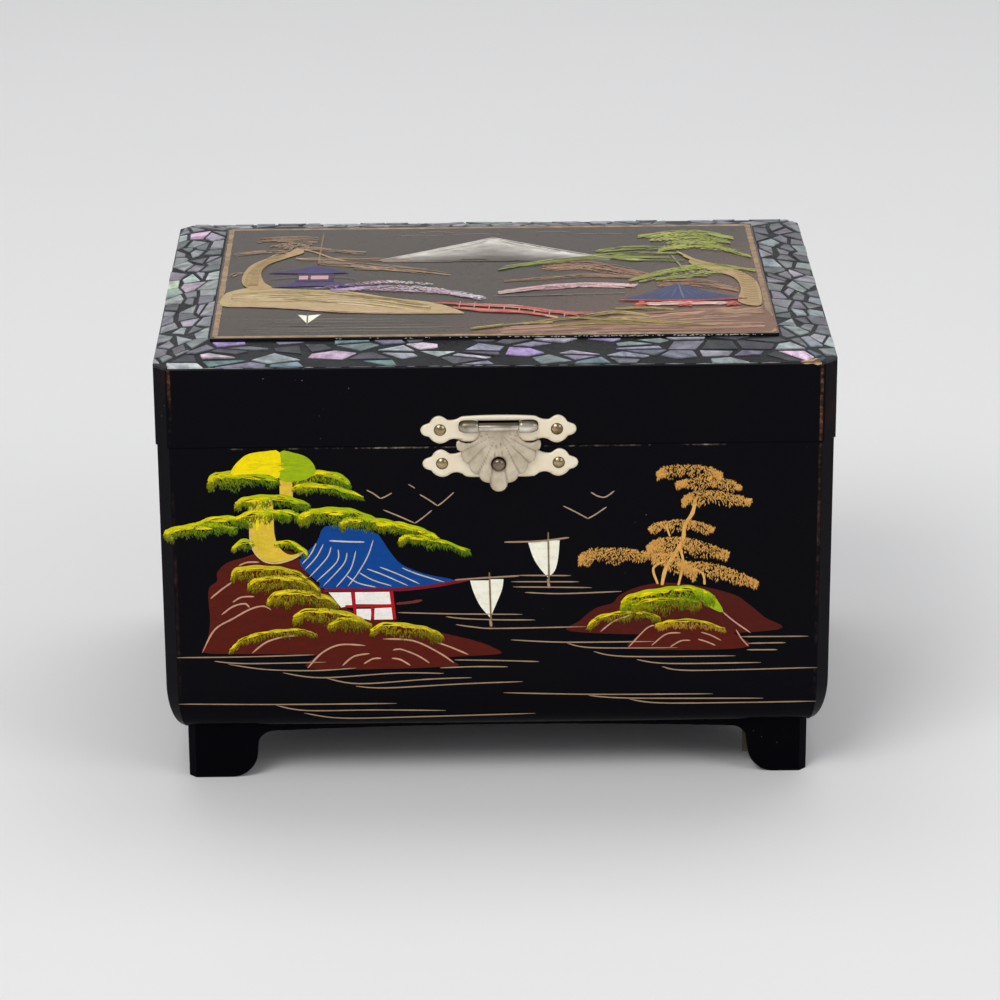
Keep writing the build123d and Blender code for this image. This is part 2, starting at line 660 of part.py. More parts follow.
def hinge_pins():
    half = HINGE_WIDTH / 2
    return group([rod_x(x - half, x + half, AXIS_Y, AXIS_Z, PIN_RADIUS) for x in (-HINGE_X, HINGE_X)])


def hinge_screws(upper):
    face_y = (HALF_Y if upper else CASE_Y) + LEAF_THICKNESS
    z = AXIS_Z + (SCREW_DROP if upper else -SCREW_DROP)
    return group([domed_nail(x, z, face_y, -1) for x in hinge_screw_xs()])


# Latch


def latch_plate_outline():
    """Long plate with a round lobe round each nail and a small round tip at each end."""
    plate = Rectangle(PLATE_BODY_LENGTH, PLATE_BODY_HEIGHT)
    plate += Rectangle(2 * PLATE_LOBE_X, PLATE_NECK_HEIGHT)
    for s in (-1, 1):
        plate += Pos(s * PLATE_LOBE_X, 0) * Circle(PLATE_LOBE_RADIUS)
        tip_x = s * (PLATE_LENGTH / 2 - PLATE_TIP_RADIUS)
        plate += Pos(tip_x, 0) * Circle(PLATE_TIP_RADIUS)
        plate += Pos((tip_x + s * PLATE_LOBE_X) / 2, 0) * Rectangle(
            abs(tip_x - s * PLATE_LOBE_X), 2 * PLATE_TIP_RADIUS
        )
    return plate


def latch_plate(x, face_y, z):
    plane = Plane(origin=(x, face_y, z), x_dir=(1, 0, 0), z_dir=(0, -1, 0))
    plate = extrude(plane * latch_plate_outline(), PLATE_THICKNESS)
    for hole_x in (x - PLATE_LOBE_X, x + PLATE_LOBE_X):
        plate -= rod_y(hole_x, face_y - PLATE_THICKNESS, face_y, z, SHANK_HOLE_RADIUS)
    return plate


def latch_hinge_plate():
    """Plate on the lid, with a slot for the hasp's barrel and an ear at each side of it."""
    axis_y, axis_z = -AXIS_Y, LATCH_AXIS_Z
    plate = latch_plate(LATCH_X, -HALF_Y, HINGE_PLATE_Z)
    inner = BARREL_WIDTH / 2 + BARREL_SIDE_GAP
    x0, x1 = LATCH_X - inner, LATCH_X + inner
    slot = KNUCKLE_RADIUS + BARREL_SLOT_CLEARANCE
    plate -= span(x0, x1, -HALF_Y - PLATE_THICKNESS, -HALF_Y, axis_z - slot, axis_z + slot)
    for ear_x0, ear_x1 in ((x0 - EAR_WIDTH, x0), (x1, x1 + EAR_WIDTH)):
        plate += rod_x(ear_x0, ear_x1, axis_y, axis_z, KNUCKLE_RADIUS)
        z0, z1 = axis_z - KNUCKLE_RADIUS, axis_z + KNUCKLE_RADIUS
        plate += span(ear_x0, ear_x1, axis_y, -HALF_Y, z0, z1)
    return plate - rod_x(x0 - EAR_WIDTH, x1 + EAR_WIDTH, axis_y, axis_z, PIN_RADIUS)


def latch_pin():
    half = BARREL_WIDTH / 2 + BARREL_SIDE_GAP + EAR_WIDTH
    return rod_x(LATCH_X - half, LATCH_X + half, -AXIS_Y, LATCH_AXIS_Z, PIN_RADIUS)


def hasp_outline():
    """Scallop shell: a neck under the barrel, a wing to each side and lobes down to the tip."""
    neck, reach, drop, r = HASP_NECK_HALF, HASP_WING_REACH, HASP_WING_DROP, HASP_WING_ROUND
    step_x = (reach - HASP_TIP_HALF - r) / HASP_LOBES
    step_z = (HASP_LENGTH - drop - 2 * r) / HASP_LOBES
    shoulder, wing_top, x, z = (neck, 2 * r - drop), (reach - r, r - drop), reach - r, -drop - r
    right = [
        Line((0, 0), (neck, 0)),
        Line((neck, 0), shoulder),
        ThreePointArc(shoulder, (neck + 1.6 * r, 1.1 * r - drop), wing_top),
        ThreePointArc(wing_top, (reach, -drop), (x, z)),
    ]
    for _ in range(HASP_LOBES):
        next_x, next_z = x - step_x, z - step_z
        mid_x = (x + next_x) / 2 + HASP_LOBE_BULGE * step_z
        mid_z = (z + next_z) / 2 - HASP_LOBE_BULGE * step_x
        right.append(ThreePointArc((x, z), (mid_x, mid_z), (next_x, next_z)))
        x, z = next_x, next_z
    tip_z = -HASP_LENGTH
    right.append(ThreePointArc((x, z), (x * 0.85, (z + 2 * tip_z) / 3), (0, tip_z)))
    left = [mirror(edge, Plane.YZ) for edge in right]
    return make_face(right + left)


def latch_hasp():
    back_y = -AXIS_Y + PLATE_THICKNESS
    plane = Plane(origin=(LATCH_X, back_y, LATCH_AXIS_Z), x_dir=(1, 0, 0), z_dir=(0, -1, 0))
    hasp = extrude(plane * hasp_outline(), PLATE_THICKNESS)
    x0, x1 = LATCH_X - BARREL_WIDTH / 2, LATCH_X + BARREL_WIDTH / 2
    hasp += rod_x(x0, x1, -AXIS_Y, LATCH_AXIS_Z, KNUCKLE_RADIUS)
    hasp -= rod_x(x0, x1, -AXIS_Y, LATCH_AXIS_Z, PIN_RADIUS + PIN_CLEARANCE)
    return hasp - rod_y(LATCH_X, -AXIS_Y, back_y, STUD_Z, HASP_HOLE_RADIUS)


def latch_stud():
    """Round-headed stud on the catch plate that the hasp drops over."""
    face_y = -CASE_Y - PLATE_THICKNESS
    head = rod_y(LATCH_X, face_y - STUD_HEIGHT, face_y, STUD_Z, STUD_RADIUS)
    head = fillet(head.edges().sort_by(Axis.Y)[0], STUD_RADIUS * 0.6)
    return head + rod_y(LATCH_X, face_y, SCREW_SHANK_LENGTH - CASE_Y, STUD_Z, SCREW_SHANK_RADIUS)


def catch_plate():
    plate = latch_plate(CATCH_X, -CASE_Y, CATCH_PLATE_Z)
    return plate - rod_y(LATCH_X, -CASE_Y - PLATE_THICKNESS, -CASE_Y, STUD_Z, SHANK_HOLE_RADIUS)


def latch_nails(x, face_y, z):
    return group([domed_nail(x + s * PLATE_LOBE_X, z, face_y, 1) for s in (-1, 1)])


# Musical movement


def in_movement(shape):
    """Moves a shape from the movement's own frame, on its bedplate, to its place in the case."""
    return Pos(MOVEMENT_X, MOVEMENT_Y, FLOOR) * shape


def key_x():
    return MOVEMENT_X + BARREL_X


def stop_rod_place():
    return MOVEMENT_X + STOP_ROD_X, MOVEMENT_Y + GOVERNOR_Y


def movement_screw_places():
    x0, x1 = BEDPLATE_LEFT + 2 * SCREW_INSET, BEDPLATE_RIGHT - SCREW_INSET
    y1 = BEDPLATE_WIDTH / 2 - SCREW_INSET
    return [(MOVEMENT_X + x, MOVEMENT_Y + y) for x, y in ((x1, y1), (x1, -y1), (x0, -y1))]


def gear_outline(teeth, module, phase, tip=0.8, root=1.15, share=0.8):
    """Toothed outline with straight flanks; phase is the direction of one tooth, in degrees."""
    pitch = teeth * module / 2
    half = share * math.pi / (2 * teeth)
    levels = ((pitch - root * module, 1.55), (pitch + tip * module, 0.5))
    points = []
    for k in range(teeth):
        centre = math.radians(phase) + 2 * math.pi * k / teeth
        (low, wide), (high, narrow) = levels
        for radius, angle in ((low, -wide), (high, -narrow), (high, narrow), (low, wide)):
            a = centre + angle * half
            points.append((radius * math.cos(a), radius * math.sin(a)))
    return make_face(Polyline(*points, close=True))


def gear_along_x(teeth, module, phase, x0, x1, y, z, **shape):
    plane = Plane(origin=(x0, y, z), x_dir=(0, 1, 0), z_dir=(1, 0, 0))
    return extrude(plane * gear_outline(teeth, module, phase, **shape), x1 - x0)


def bedplate():
    half_width = BEDPLATE_WIDTH / 2
    plate = span(BEDPLATE_LEFT, BEDPLATE_RIGHT, -half_width, half_width, 0, BEDPLATE_THICKNESS)
    plate = fillet(plate.edges().filter_by(Axis.Z), BEDPLATE_ROUND)
    near_x, far_x = DRUM_START + BRACKET_GAP, BRACKET_B_X
    near_x1, far_x1 = near_x + BRACKET_THICKNESS, far_x + BRACKET_THICKNESS
    plate += span(near_x, near_x1, -BEARING_EYE, BEARING_EYE, 0, DRUM_Z)
    plate += rod_x(near_x, near_x1, 0, DRUM_Z, BEARING_EYE)
    plate += span(far_x, far_x1, -BEARING_EYE, IDLER_Y + IDLER_EYE, 0, IDLER_Z)
    plate += span(far_x, far_x1, -BEARING_EYE, BEARING_EYE, 0, DRUM_Z)
    plate += rod_x(far_x, far_x1, 0, DRUM_Z, BEARING_EYE)
    plate += rod_x(far_x, far_x1, IDLER_Y, IDLER_Z, IDLER_EYE)
    plate -= rod_x(far_x, near_x1, 0, DRUM_Z, SHAFT_RADIUS + RUNNING_CLEARANCE)
    plate -= rod_x(far_x, far_x1, IDLER_Y, IDLER_Z, IDLER_SHAFT_RADIUS + RUNNING_CLEARANCE)
    x0, x1 = comb_span()
    block_y = comb_root_y()
    plate += span(x0, x1, block_y, block_y + COMB_BLOCK_DEPTH, 0, COMB_Z)
    for x, y in comb_screw_places():
        plate -= rod_z(x, y, COMB_Z - COMB_SCREW_REACH, COMB_Z, SCREW_SHANK_RADIUS)
    z0 = BEDPLATE_THICKNESS
    plate += rod_z(STOP_ROD_X, GOVERNOR_Y, 0, GUIDE_TUBE_TOP, GUIDE_TUBE_RADIUS)
    plate -= rod_z(STOP_ROD_X, GOVERNOR_Y, z0, GUIDE_TUBE_TOP, STOP_ROD_RADIUS + RUNNING_CLEARANCE)
    plate -= rod_z(BARREL_X, 0, 0, z0, ARBOR_RADIUS + RUNNING_CLEARANCE)
    for x, y in movement_screw_places():
        plate -= rod_z(x - MOVEMENT_X, y - MOVEMENT_Y, 0, z0, SCREW_SHANK_RADIUS)
    return in_movement(plate)


def movement_screws():
    """Screws from under the box, up through the bottom board into the bedplate."""
    screws = []
    for x, y in movement_screw_places():
        head = rod_z(x, y, BASE_HEIGHT - SCREW_HEAD_HEIGHT, BASE_HEIGHT, SCREW_HEAD_RADIUS)
        screws.append(head + rod_z(x, y, BASE_HEIGHT, FLOOR + BEDPLATE_THICKNESS, SCREW_SHANK_RADIUS))
    return screws


def comb_span():
    return DRUM_END, DRUM_START


def comb_tip_y():
    return -(DRUM_RADIUS + DRUM_PIN_HEIGHT + COMB_TIP_GAP)


def comb_root_y():
    return comb_tip_y() - COMB_LENGTH


def comb_screw_places():
    x0, x1 = comb_span()
    y = comb_root_y() + COMB_BLOCK_DEPTH / 2
    return [(x0 + (x1 - x0) * share, y) for share in COMB_SCREW_SHARES]


def comb():
    x0, x1 = comb_span()
    y1, z1 = comb_tip_y(), COMB_Z + COMB_THICKNESS
    plate = span(x0, x1, comb_root_y(), y1, COMB_Z, z1)
    half = COMB_SLOT / 2
    for k in range(1, PIN_ROWS):
        x = x0 + k * (x1 - x0) / PIN_ROWS
        plate -= span(x - half, x + half, y1 - COMB_SLOT_LENGTH, y1, COMB_Z, z1)
    for x, y in comb_screw_places():
        plate -= rod_z(x, y, COMB_Z, z1, SHANK_HOLE_RADIUS)
    return in_movement(plate)


def comb_screws():
    screws = []
    z0, r, slot = COMB_Z + COMB_THICKNESS, SCREW_HEAD_RADIUS, COMB_SCREW_SLOT / 2
    z1 = z0 + COMB_SCREW_HEAD_HEIGHT
    slot_z = (z0 + z1) / 2
    for x, y in comb_screw_places():
        head = rod_z(x, y, z0, z1, r) - span(x - r, x + r, y - slot, y + slot, slot_z, z1)
        screws.append(head + rod_z(x, y, COMB_Z - COMB_SCREW_REACH, z0, SCREW_SHANK_RADIUS))
    return [in_movement(screw) for screw in screws]


def spring_barrel():
    """Drum that holds the mainspring, closed above, with crown teeth round its upper rim."""
    top = BARREL_BASE_Z + BARREL_HEIGHT
    shell = rod_z(BARREL_X, 0, BARREL_BASE_Z, top, BARREL_RADIUS)
    shell -= rod_z(BARREL_X, 0, BARREL_BASE_Z, top - BARREL_WALL, BARREL_RADIUS - BARREL_WALL)
    shell -= rod_z(BARREL_X, 0, BARREL_BASE_Z, top, ARBOR_RADIUS + RUNNING_CLEARANCE)
    low, high = top - CROWN_SEAT, CROWN_PITCH_Z + CROWN_TIP
    root, tip = CROWN_ROOT_HALF, CROWN_TIP_HALF
    section = make_face(Polyline((-root, low), (root, low), (tip, high), (-tip, high), close=True))
    bar = Pos(BARREL_RADIUS - BARREL_RIM - 0.05, 0, 0) * extrude(Plane.YZ * section, BARREL_RIM)
    for k in range(CROWN_TEETH):
        shell += Pos(BARREL_X, 0, 0) * Rot(0, 0, 360 * (k + 0.5) / CROWN_TEETH) * bar
    return in_movement(shell)


def barrel_cover():
    z0, z1 = BARREL_BASE_Z, BARREL_BASE_Z + BARREL_COVER_THICKNESS
    cover = rod_z(BARREL_X, 0, z0, z1, BARREL_RADIUS - BARREL_WALL)
    return in_movement(cover - rod_z(BARREL_X, 0, z0, z1, ARBOR_RADIUS + RUNNING_CLEARANCE))


def mainspring():
    """Flat spiral strip of half circles, wound outwards from the arbor."""
    outer_radius = BARREL_RADIUS - BARREL_WALL - 2 * SPRING_CLEARANCE
    inner_radius = outer_radius - SPRING_TURNS * SPRING_PITCH
    outer_edges, inner_edges = [], []
    for k in range(2 * SPRING_TURNS):
        radius = inner_radius + k * SPRING_PITCH / 2
        centre = (SPRING_PITCH / 2 if k % 2 else 0, 0)
        start = 180 if k % 2 else 0
        outer_edges.append(CenterArc(centre, radius + SPRING_STRIP / 2, start, 180))
        inner_edges.append(CenterArc(centre, radius - SPRING_STRIP / 2, start, 180))
    ends = [
        Line(inner_edges[0] @ 0, outer_edges[0] @ 0),
        Line(inner_edges[-1] @ 1, outer_edges[-1] @ 1),
    ]
    strip = make_face(outer_edges + inner_edges + ends)
    z0 = BARREL_BASE_Z + BARREL_COVER_THICKNESS + SPRING_CLEARANCE
    z1 = BARREL_BASE_Z + BARREL_HEIGHT - BARREL_WALL - SPRING_CLEARANCE
    return in_movement(Pos(BARREL_X - SPRING_PITCH / 4, 0, z0) * extrude(strip, z1 - z0))


def drum_shaft():
    """Shaft of the drum, with the pinion that the crown teeth drive."""
    right = BARREL_X - BARREL_RADIUS + BARREL_RIM + PINION_OVERHANG
    shaft = rod_x(BRACKET_B_X - SHAFT_END, right, 0, DRUM_Z, SHAFT_RADIUS)
    pinion_x = DRUM_START + BRACKET_GAP + BRACKET_THICKNESS + WHEEL_GAP
    shaft += gear_along_x(PINION_TEETH, CROWN_MODULE, -90, pinion_x, right, 0, DRUM_Z)
    return in_movement(shaft)


def drum_cylinder():
    drum = rod_x(DRUM_END, DRUM_START, 0, DRUM_Z, DRUM_RADIUS)
    drum -= rod_x(DRUM_END + DRUM_WALL, DRUM_START - DRUM_WALL, 0, DRUM_Z, DRUM_RADIUS - DRUM_WALL)
    return in_movement(drum - rod_x(DRUM_END, DRUM_START, 0, DRUM_Z, SHAFT_RADIUS))


def drum_pins():
    """Tune pins in rows round the drum, one row for each tooth of the comb."""
    x0, x1 = comb_span()
    pitch = (x1 - x0) / PIN_ROWS
    pins = []
    for row in range(PIN_ROWS):
        for k in range(PINS_PER_ROW):
            turn = 360 * k / PINS_PER_ROW + 137.5 * row + 11 * ((row * 7 + k * 3) % 5)
            x = x0 + (row + 0.5) * pitch
            pin = rod_z(0, 0, DRUM_RADIUS, DRUM_RADIUS + DRUM_PIN_HEIGHT, DRUM_PIN_RADIUS)
            pins.append(Pos(x, 0, DRUM_Z) * Rot(turn, 0, 0) * pin)
    return in_movement(group(pins))


def drum_wheel():
    x0, x1 = WHEEL_X, WHEEL_X + WHEEL_THICKNESS
    wheel = gear_along_x(WHEEL_TEETH, WHEEL_MODULE, IDLER_ANGLE, x0, x1, 0, DRUM_Z)
    return in_movement(wheel - rod_x(x0, x1, 0, DRUM_Z, SHAFT_RADIUS))


def cheek_x():
    return GOVERNOR_X - CHEEK_GAP - BRACKET_THICKNESS


def idler_arbor():
    """Second arbor, with the small pinion that the drum wheel drives."""
    x0, x1 = WHEEL_X, WHEEL_X + WHEEL_THICKNESS
    arbor = rod_x(cheek_x(), x1, IDLER_Y, IDLER_Z, IDLER_SHAFT_RADIUS)
    gap_phase = IDLER_ANGLE + 180 + 180 / IDLER_TEETH
    gear = (IDLER_TEETH, WHEEL_MODULE, gap_phase)
    return in_movement(arbor + gear_along_x(*gear, x0, x1, IDLER_Y, IDLER_Z, root=1.0))


def worm_wheel():
    x0 = GOVERNOR_X - WORM_WHEEL_THICKNESS / 2
    x1 = x0 + WORM_WHEEL_THICKNESS
    gear = (WORM_WHEEL_TEETH, WORM_MODULE, 180 / WORM_WHEEL_TEETH)
    wheel = gear_along_x(*gear, x0, x1, IDLER_Y, IDLER_Z, tip=0.9, share=0.7)
    return in_movement(wheel - rod_x(x0, x1, IDLER_Y, IDLER_Z, IDLER_SHAFT_RADIUS))


def governor_worm():
    """Upright shaft with the endless screw that the worm wheel drives."""
    x, y = GOVERNOR_X, GOVERNOR_Y
    z0 = BEDPLATE_THICKNESS + GOVERNOR_BEARING_SKIN + SHAFT_PLAY
    z1 = GOVERNOR_TOP_Z + SHAFT_ABOVE_FRAME
    shaft = rod_z(x, y, z0, z1, GOVERNOR_SHAFT_RADIUS)
    half = WORM_TURNS * WORM_PITCH / 2 + WORM_CORE_RADIUS
    shaft += rod_z(x, y, IDLER_Z - half, IDLER_Z + half, WORM_CORE_RADIUS)
    root_radius = WORM_CORE_RADIUS - THREAD_SINK
    path = Helix(WORM_PITCH, WORM_TURNS * WORM_PITCH, root_radius)
    high, root, tip = THREAD_HEIGHT, THREAD_ROOT_WIDTH / 2, THREAD_TIP_WIDTH / 2
    flat = make_face(Polyline((0, -root), (high, -tip), (high, tip), (0, root), close=True))
    section = Plane(origin=(root_radius, 0, 0), x_dir=(1, 0, 0), z_dir=(0, -1, 0)) * flat
    thread = sweep(section, path=path, is_frenet=True)
    # The thread starts towards +X, so it faces the wheel, at -Y, three quarters of a turn later.
    start_z = IDLER_Z - (WORM_TURNS / 2 - 0.25) * WORM_PITCH
    return in_movement(shaft + Pos(x, y, start_z) * thread)


def governor_fan():
    """Air brake: two vanes on a hub, under the disc that the stop finger holds."""
    x, y, z1 = GOVERNOR_X, GOVERNOR_Y, DISC_Z + DISC_THICKNESS
    half = FAN_THICKNESS / 2
    fan = rod_z(x, y, FAN_Z, z1, FAN_HUB_RADIUS)
    fan += span(x - half, x + half, y - FAN_RADIUS, y + FAN_RADIUS, FAN_Z, FAN_Z + FAN_HEIGHT)
    fan += rod_z(x, y, DISC_Z, z1, DISC_RADIUS)
    return in_movement(fan - rod_z(x, y, FAN_Z, z1, GOVERNOR_SHAFT_RADIUS))


def governor_frame():
    """Bracket that holds the governor's shaft at both ends and the outer end of the second arbor."""
    x0, x1, eye = GOVERNOR_X - FRAME_HALF_WIDTH, GOVERNOR_X + FRAME_HALF_WIDTH, IDLER_EYE
    z0, z1, top = BEDPLATE_THICKNESS, BEDPLATE_THICKNESS + FRAME_STRIP, GOVERNOR_TOP_Z + FRAME_STRIP
    y0 = GOVERNOR_Y + FAN_RADIUS + FRAME_FAN_GAP
    y1 = y0 + FRAME_STRIP
    cheek_x0, cheek_x1 = cheek_x(), cheek_x() + BRACKET_THICKNESS
    frame = span(cheek_x0, BRACKET_B_X - BRACKET_GAP, IDLER_Y - eye, y1, z0, z1)
    frame += span(x0, x1, y0, y1, z0, top)
    frame += span(x0, x1, GOVERNOR_Y - FRAME_TONGUE, y1, GOVERNOR_TOP_Z, top)
    frame += span(cheek_x0, cheek_x1, IDLER_Y - eye, IDLER_Y + eye, z0, IDLER_Z)
    frame += rod_x(cheek_x0, cheek_x1, IDLER_Y, IDLER_Z, eye)
    frame -= rod_x(cheek_x0, cheek_x1, IDLER_Y, IDLER_Z, IDLER_SHAFT_RADIUS + RUNNING_CLEARANCE)
    bore = GOVERNOR_SHAFT_RADIUS + RUNNING_CLEARANCE
    return in_movement(frame - rod_z(GOVERNOR_X, GOVERNOR_Y, z0 + GOVERNOR_BEARING_SKIN, top, bore))


def stop_rod():
    """Upright wire that the lid pushes down, with a finger over the governor's disc."""
    x, y = STOP_ROD_X, GOVERNOR_Y
    rod = rod_z(x, y, BEDPLATE_THICKNESS + STOP_ROD_FOOT, STOP_ROD_TOP - FLOOR, STOP_ROD_RADIUS)
    finger_x = GOVERNOR_X + DISC_RADIUS - STOP_FINGER_OVER_DISC
    rod += rod_x(finger_x, x, y, FINGER_Z + STOP_FINGER_RADIUS, STOP_FINGER_RADIUS)
    rod += rod_z(x, y, COLLAR_Z, COLLAR_Z + STOP_COLLAR_HEIGHT, STOP_COLLAR_RADIUS)
    return in_movement(rod)


def stop_spring():
    """Coil spring from the guide tube to the rod's collar, pressed short by a shut lid."""
    z0 = GUIDE_TUBE_TOP + COIL_WIRE + COIL_SEAT_GAP
    z1 = COLLAR_Z - COIL_WIRE - COIL_SEAT_GAP
    path = Helix(COIL_PITCH, z1 - z0, COIL_RADIUS)
    section = Plane(origin=path @ 0, z_dir=path % 0) * Circle(COIL_WIRE)
    coil = sweep(section, path=path, is_frenet=True)
    return in_movement(Pos(STOP_ROD_X, GOVERNOR_Y, z0) * coil)


def spring_arbor():
    """Arbor through the barrel, bedplate and bottom board; the key screws onto its lower end."""
    top = FLOOR + BARREL_BASE_Z + BARREL_HEIGHT + ARBOR_ABOVE_BARREL
    return rod_z(key_x(), MOVEMENT_Y, KEY_HUB_TOP - KEY_GRIP, top, ARBOR_RADIUS)


def winding_key():
    """Butterfly key: a hub with two round wings, each with a hole."""
    x, y = key_x(), MOVEMENT_Y
    hub_bottom = KEY_HUB_TOP - KEY_HUB_HEIGHT
    hub = rod_z(x, y, hub_bottom, KEY_HUB_TOP, KEY_HUB_RADIUS)
    wing_z = hub_bottom - KEY_WING_LOBE + KEY_WING_OVERLAP
    wings = Rectangle(2 * KEY_WING_SPREAD, KEY_WEB)
    for s in (-1, 1):
        wings += Pos(s * KEY_WING_SPREAD, 0) * Circle(KEY_WING_LOBE)
    for s in (-1, 1):
        wings -= Pos(s * KEY_WING_SPREAD, 0) * Circle(KEY_HOLE_RADIUS)
    plane = Plane(origin=(x, y, wing_z), x_dir=(1, 0, 0), z_dir=(0, -1, 0))
    key = hub + extrude(plane * wings, KEY_WING_THICKNESS / 2, both=True)
    return key - rod_z(x, y, KEY_HUB_TOP - KEY_GRIP, KEY_HUB_TOP, ARBOR_RADIUS)


def build_nodes():
    """Every sub-part of the box, by the name of its node."""
    nodes = {"bottom_board": bottom_board()}
    for side, wall in case_walls().items():
        nodes[side + "_wall"] = wall
    for side, board in base_boards().items():
        nodes["base_" + side] = board
    for side, rail in lid_rails().items():
        nodes[f"lid_{side}_rail"] = rail
    y0 = DIVIDER_OFFSET - DIVIDER / 2
    nodes.update(
        base_corner_blocks=base_corner_blocks(),
        wall_linings=wall_linings(),
        bay_partition=bay_partition(),
        well_divider=well_divider(),
        floor_pads=group([floor_pad(-LINED_Y, y0), floor_pad(y0 + DIVIDER, LINED_Y)]),
        deck_ledges=deck_ledges(),
        deck_board=deck_board(),
        window_pane=window_pane(),
        ring_rolls=ring_rolls(),
        ring_rail=ring_rail(),
        lid_top_board=lid_top_board(),
        shell_mosaic=shell_mosaic(),
        picture_panel=picture_panel(),
        lid_linings=lid_linings(),
        mirror_frame=mirror_frame(),
        lid_mirror=lid_mirror(),
        stop_pusher=stop_pusher(),
        hinge_lower_leaves=hinge_leaves(False),
        hinge_upper_leaves=hinge_leaves(True),
        hinge_pins=hinge_pins(),
        hinge_lower_screws=hinge_screws(False),
        hinge_upper_screws=hinge_screws(True),
        latch_hinge_plate=latch_hinge_plate(),
        latch_pin=latch_pin(),
        latch_hasp=latch_hasp(),
        latch_catch_plate=catch_plate(),
        latch_stud=latch_stud(),
        latch_upper_nails=latch_nails(LATCH_X, -HALF_Y - PLATE_THICKNESS, HINGE_PLATE_Z),
        latch_lower_nails=latch_nails(CATCH_X, -CASE_Y - PLATE_THICKNESS, CATCH_PLATE_Z),
        movement_bedplate=bedplate(),
        movement_screws=group(movement_screws() + comb_screws()),
        music_comb=comb(),
        spring_barrel=group([spring_barrel(), barrel_cover()]),
        mainspring=mainspring(),
        drum_shaft=drum_shaft(),
        music_drum=drum_cylinder(),
        drum_pins=drum_pins(),
        drum_wheel=drum_wheel(),
        idler_arbor=idler_arbor(),
        worm_wheel=worm_wheel(),
        governor_worm=governor_worm(),
        governor_fan=governor_fan(),
        governor_frame=governor_frame(),
        stop_rod=stop_rod(),
        stop_spring=stop_spring(),
        spring_arbor=spring_arbor(),
        winding_key=winding_key(),
    )
    return nodes


os.makedirs("parts", exist_ok=True)
for name, shape in build_nodes().items():
    export_step(shape, f"parts/{name}.step")
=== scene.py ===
import json
import math
import random

import bmesh
import bpy
from mathutils import Matrix, Vector
from mathutils.geometry import delaunay_2d_cdt


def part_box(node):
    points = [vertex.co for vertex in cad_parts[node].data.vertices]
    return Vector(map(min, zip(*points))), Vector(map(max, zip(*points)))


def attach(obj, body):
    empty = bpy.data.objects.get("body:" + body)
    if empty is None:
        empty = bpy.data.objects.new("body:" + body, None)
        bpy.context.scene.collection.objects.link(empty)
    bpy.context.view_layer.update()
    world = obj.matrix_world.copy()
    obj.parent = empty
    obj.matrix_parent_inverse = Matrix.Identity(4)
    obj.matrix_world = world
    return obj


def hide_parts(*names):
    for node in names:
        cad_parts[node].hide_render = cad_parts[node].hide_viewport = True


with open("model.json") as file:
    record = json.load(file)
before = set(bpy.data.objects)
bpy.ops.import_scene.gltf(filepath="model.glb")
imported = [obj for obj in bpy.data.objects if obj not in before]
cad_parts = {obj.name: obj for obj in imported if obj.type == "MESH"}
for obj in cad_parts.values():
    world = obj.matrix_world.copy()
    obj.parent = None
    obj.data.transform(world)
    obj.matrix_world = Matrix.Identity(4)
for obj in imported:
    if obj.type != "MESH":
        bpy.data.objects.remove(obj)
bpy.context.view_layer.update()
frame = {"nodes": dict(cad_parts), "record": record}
nodes = frame["nodes"]

# Lengths below are millimetres times MM; Blender's own unit is the metre.
MM = 0.001
rng = random.Random(7)


def find_extent(*names):
    """Lowest and highest corner of several CAD nodes together."""
    lows, highs = zip(*(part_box(name) for name in names))
    low = Vector(min(v[i] for v in lows) for i in range(3))
    high = Vector(max(v[i] for v in highs) for i in range(3))
    return low, high


# Places read from the frame
panel_low, panel_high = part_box("picture_panel")
mosaic_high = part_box("shell_mosaic")[1]
wall_low, wall_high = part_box("front_wall")
board_low, board_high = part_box("bottom_board")
FRONT_Y = wall_low.y
PANEL_TOP = panel_high.z
LID_LOW, LID_HIGH = find_extent("lid_front_rail", "lid_back_rail", "lid_top_board")

# Cut corners of the case, and the lines where its lacquer is worn
CORNER_BEVEL = 4.2 * MM
WEAR_INSET = 1.2 * MM
EDGE_X = LID_HIGH.x - CORNER_BEVEL - WEAR_INSET
EDGE_Y = LID_HIGH.y - CORNER_BEVEL - WEAR_INSET
SEAM_Z = wall_high.z - 0.6 * MM
LID_EDGE_Z = mosaic_high.z - 3.2 * MM

# How the painted front bends at the cut corners and at the drawn-in bottom, in millimetres
FRONT_FLAT = (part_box("right_wall")[1].x - CORNER_BEVEL) / MM
BEND_LIFT, BEND_REACH = 0.12, 0.9
HALF_ROOT = math.sqrt(0.5)
BOTTOM_ROUND_IN = 6.6
# Heights below the board's top were measured as if the front stayed flat, from a camera this steep
SIGHT_SLOPE = 0.37

# Heights of paint above its surface, in millimetres
BASE_GAP = 0.01
LAYER = 0.035
LAYER_STEP = 0.0021
LAYER_TURNS = 61
LINE_RISE = 0.05
FLAT_RISE = 0.04

# The sloping border of the lid and the gold line round its panel, in millimetres
STRIP_RUN = (mosaic_high.x - panel_high.x) / MM
STRIP_RISE = 3.0
STRIP_EDGE = mosaic_high.z / MM - STRIP_RISE
BORDER_INSET = 1.6
BORDER_LINE = 1.9

# Padded rolls that hold the rings
ROLL_WIDTH = 12.6 * MM
ROLL_COUNT = 5

WHITE = (1.0, 1.0, 1.0)
# Upper end of a random phase, about one full turn
FULL_TURN = 6.28


# Node helpers for materials


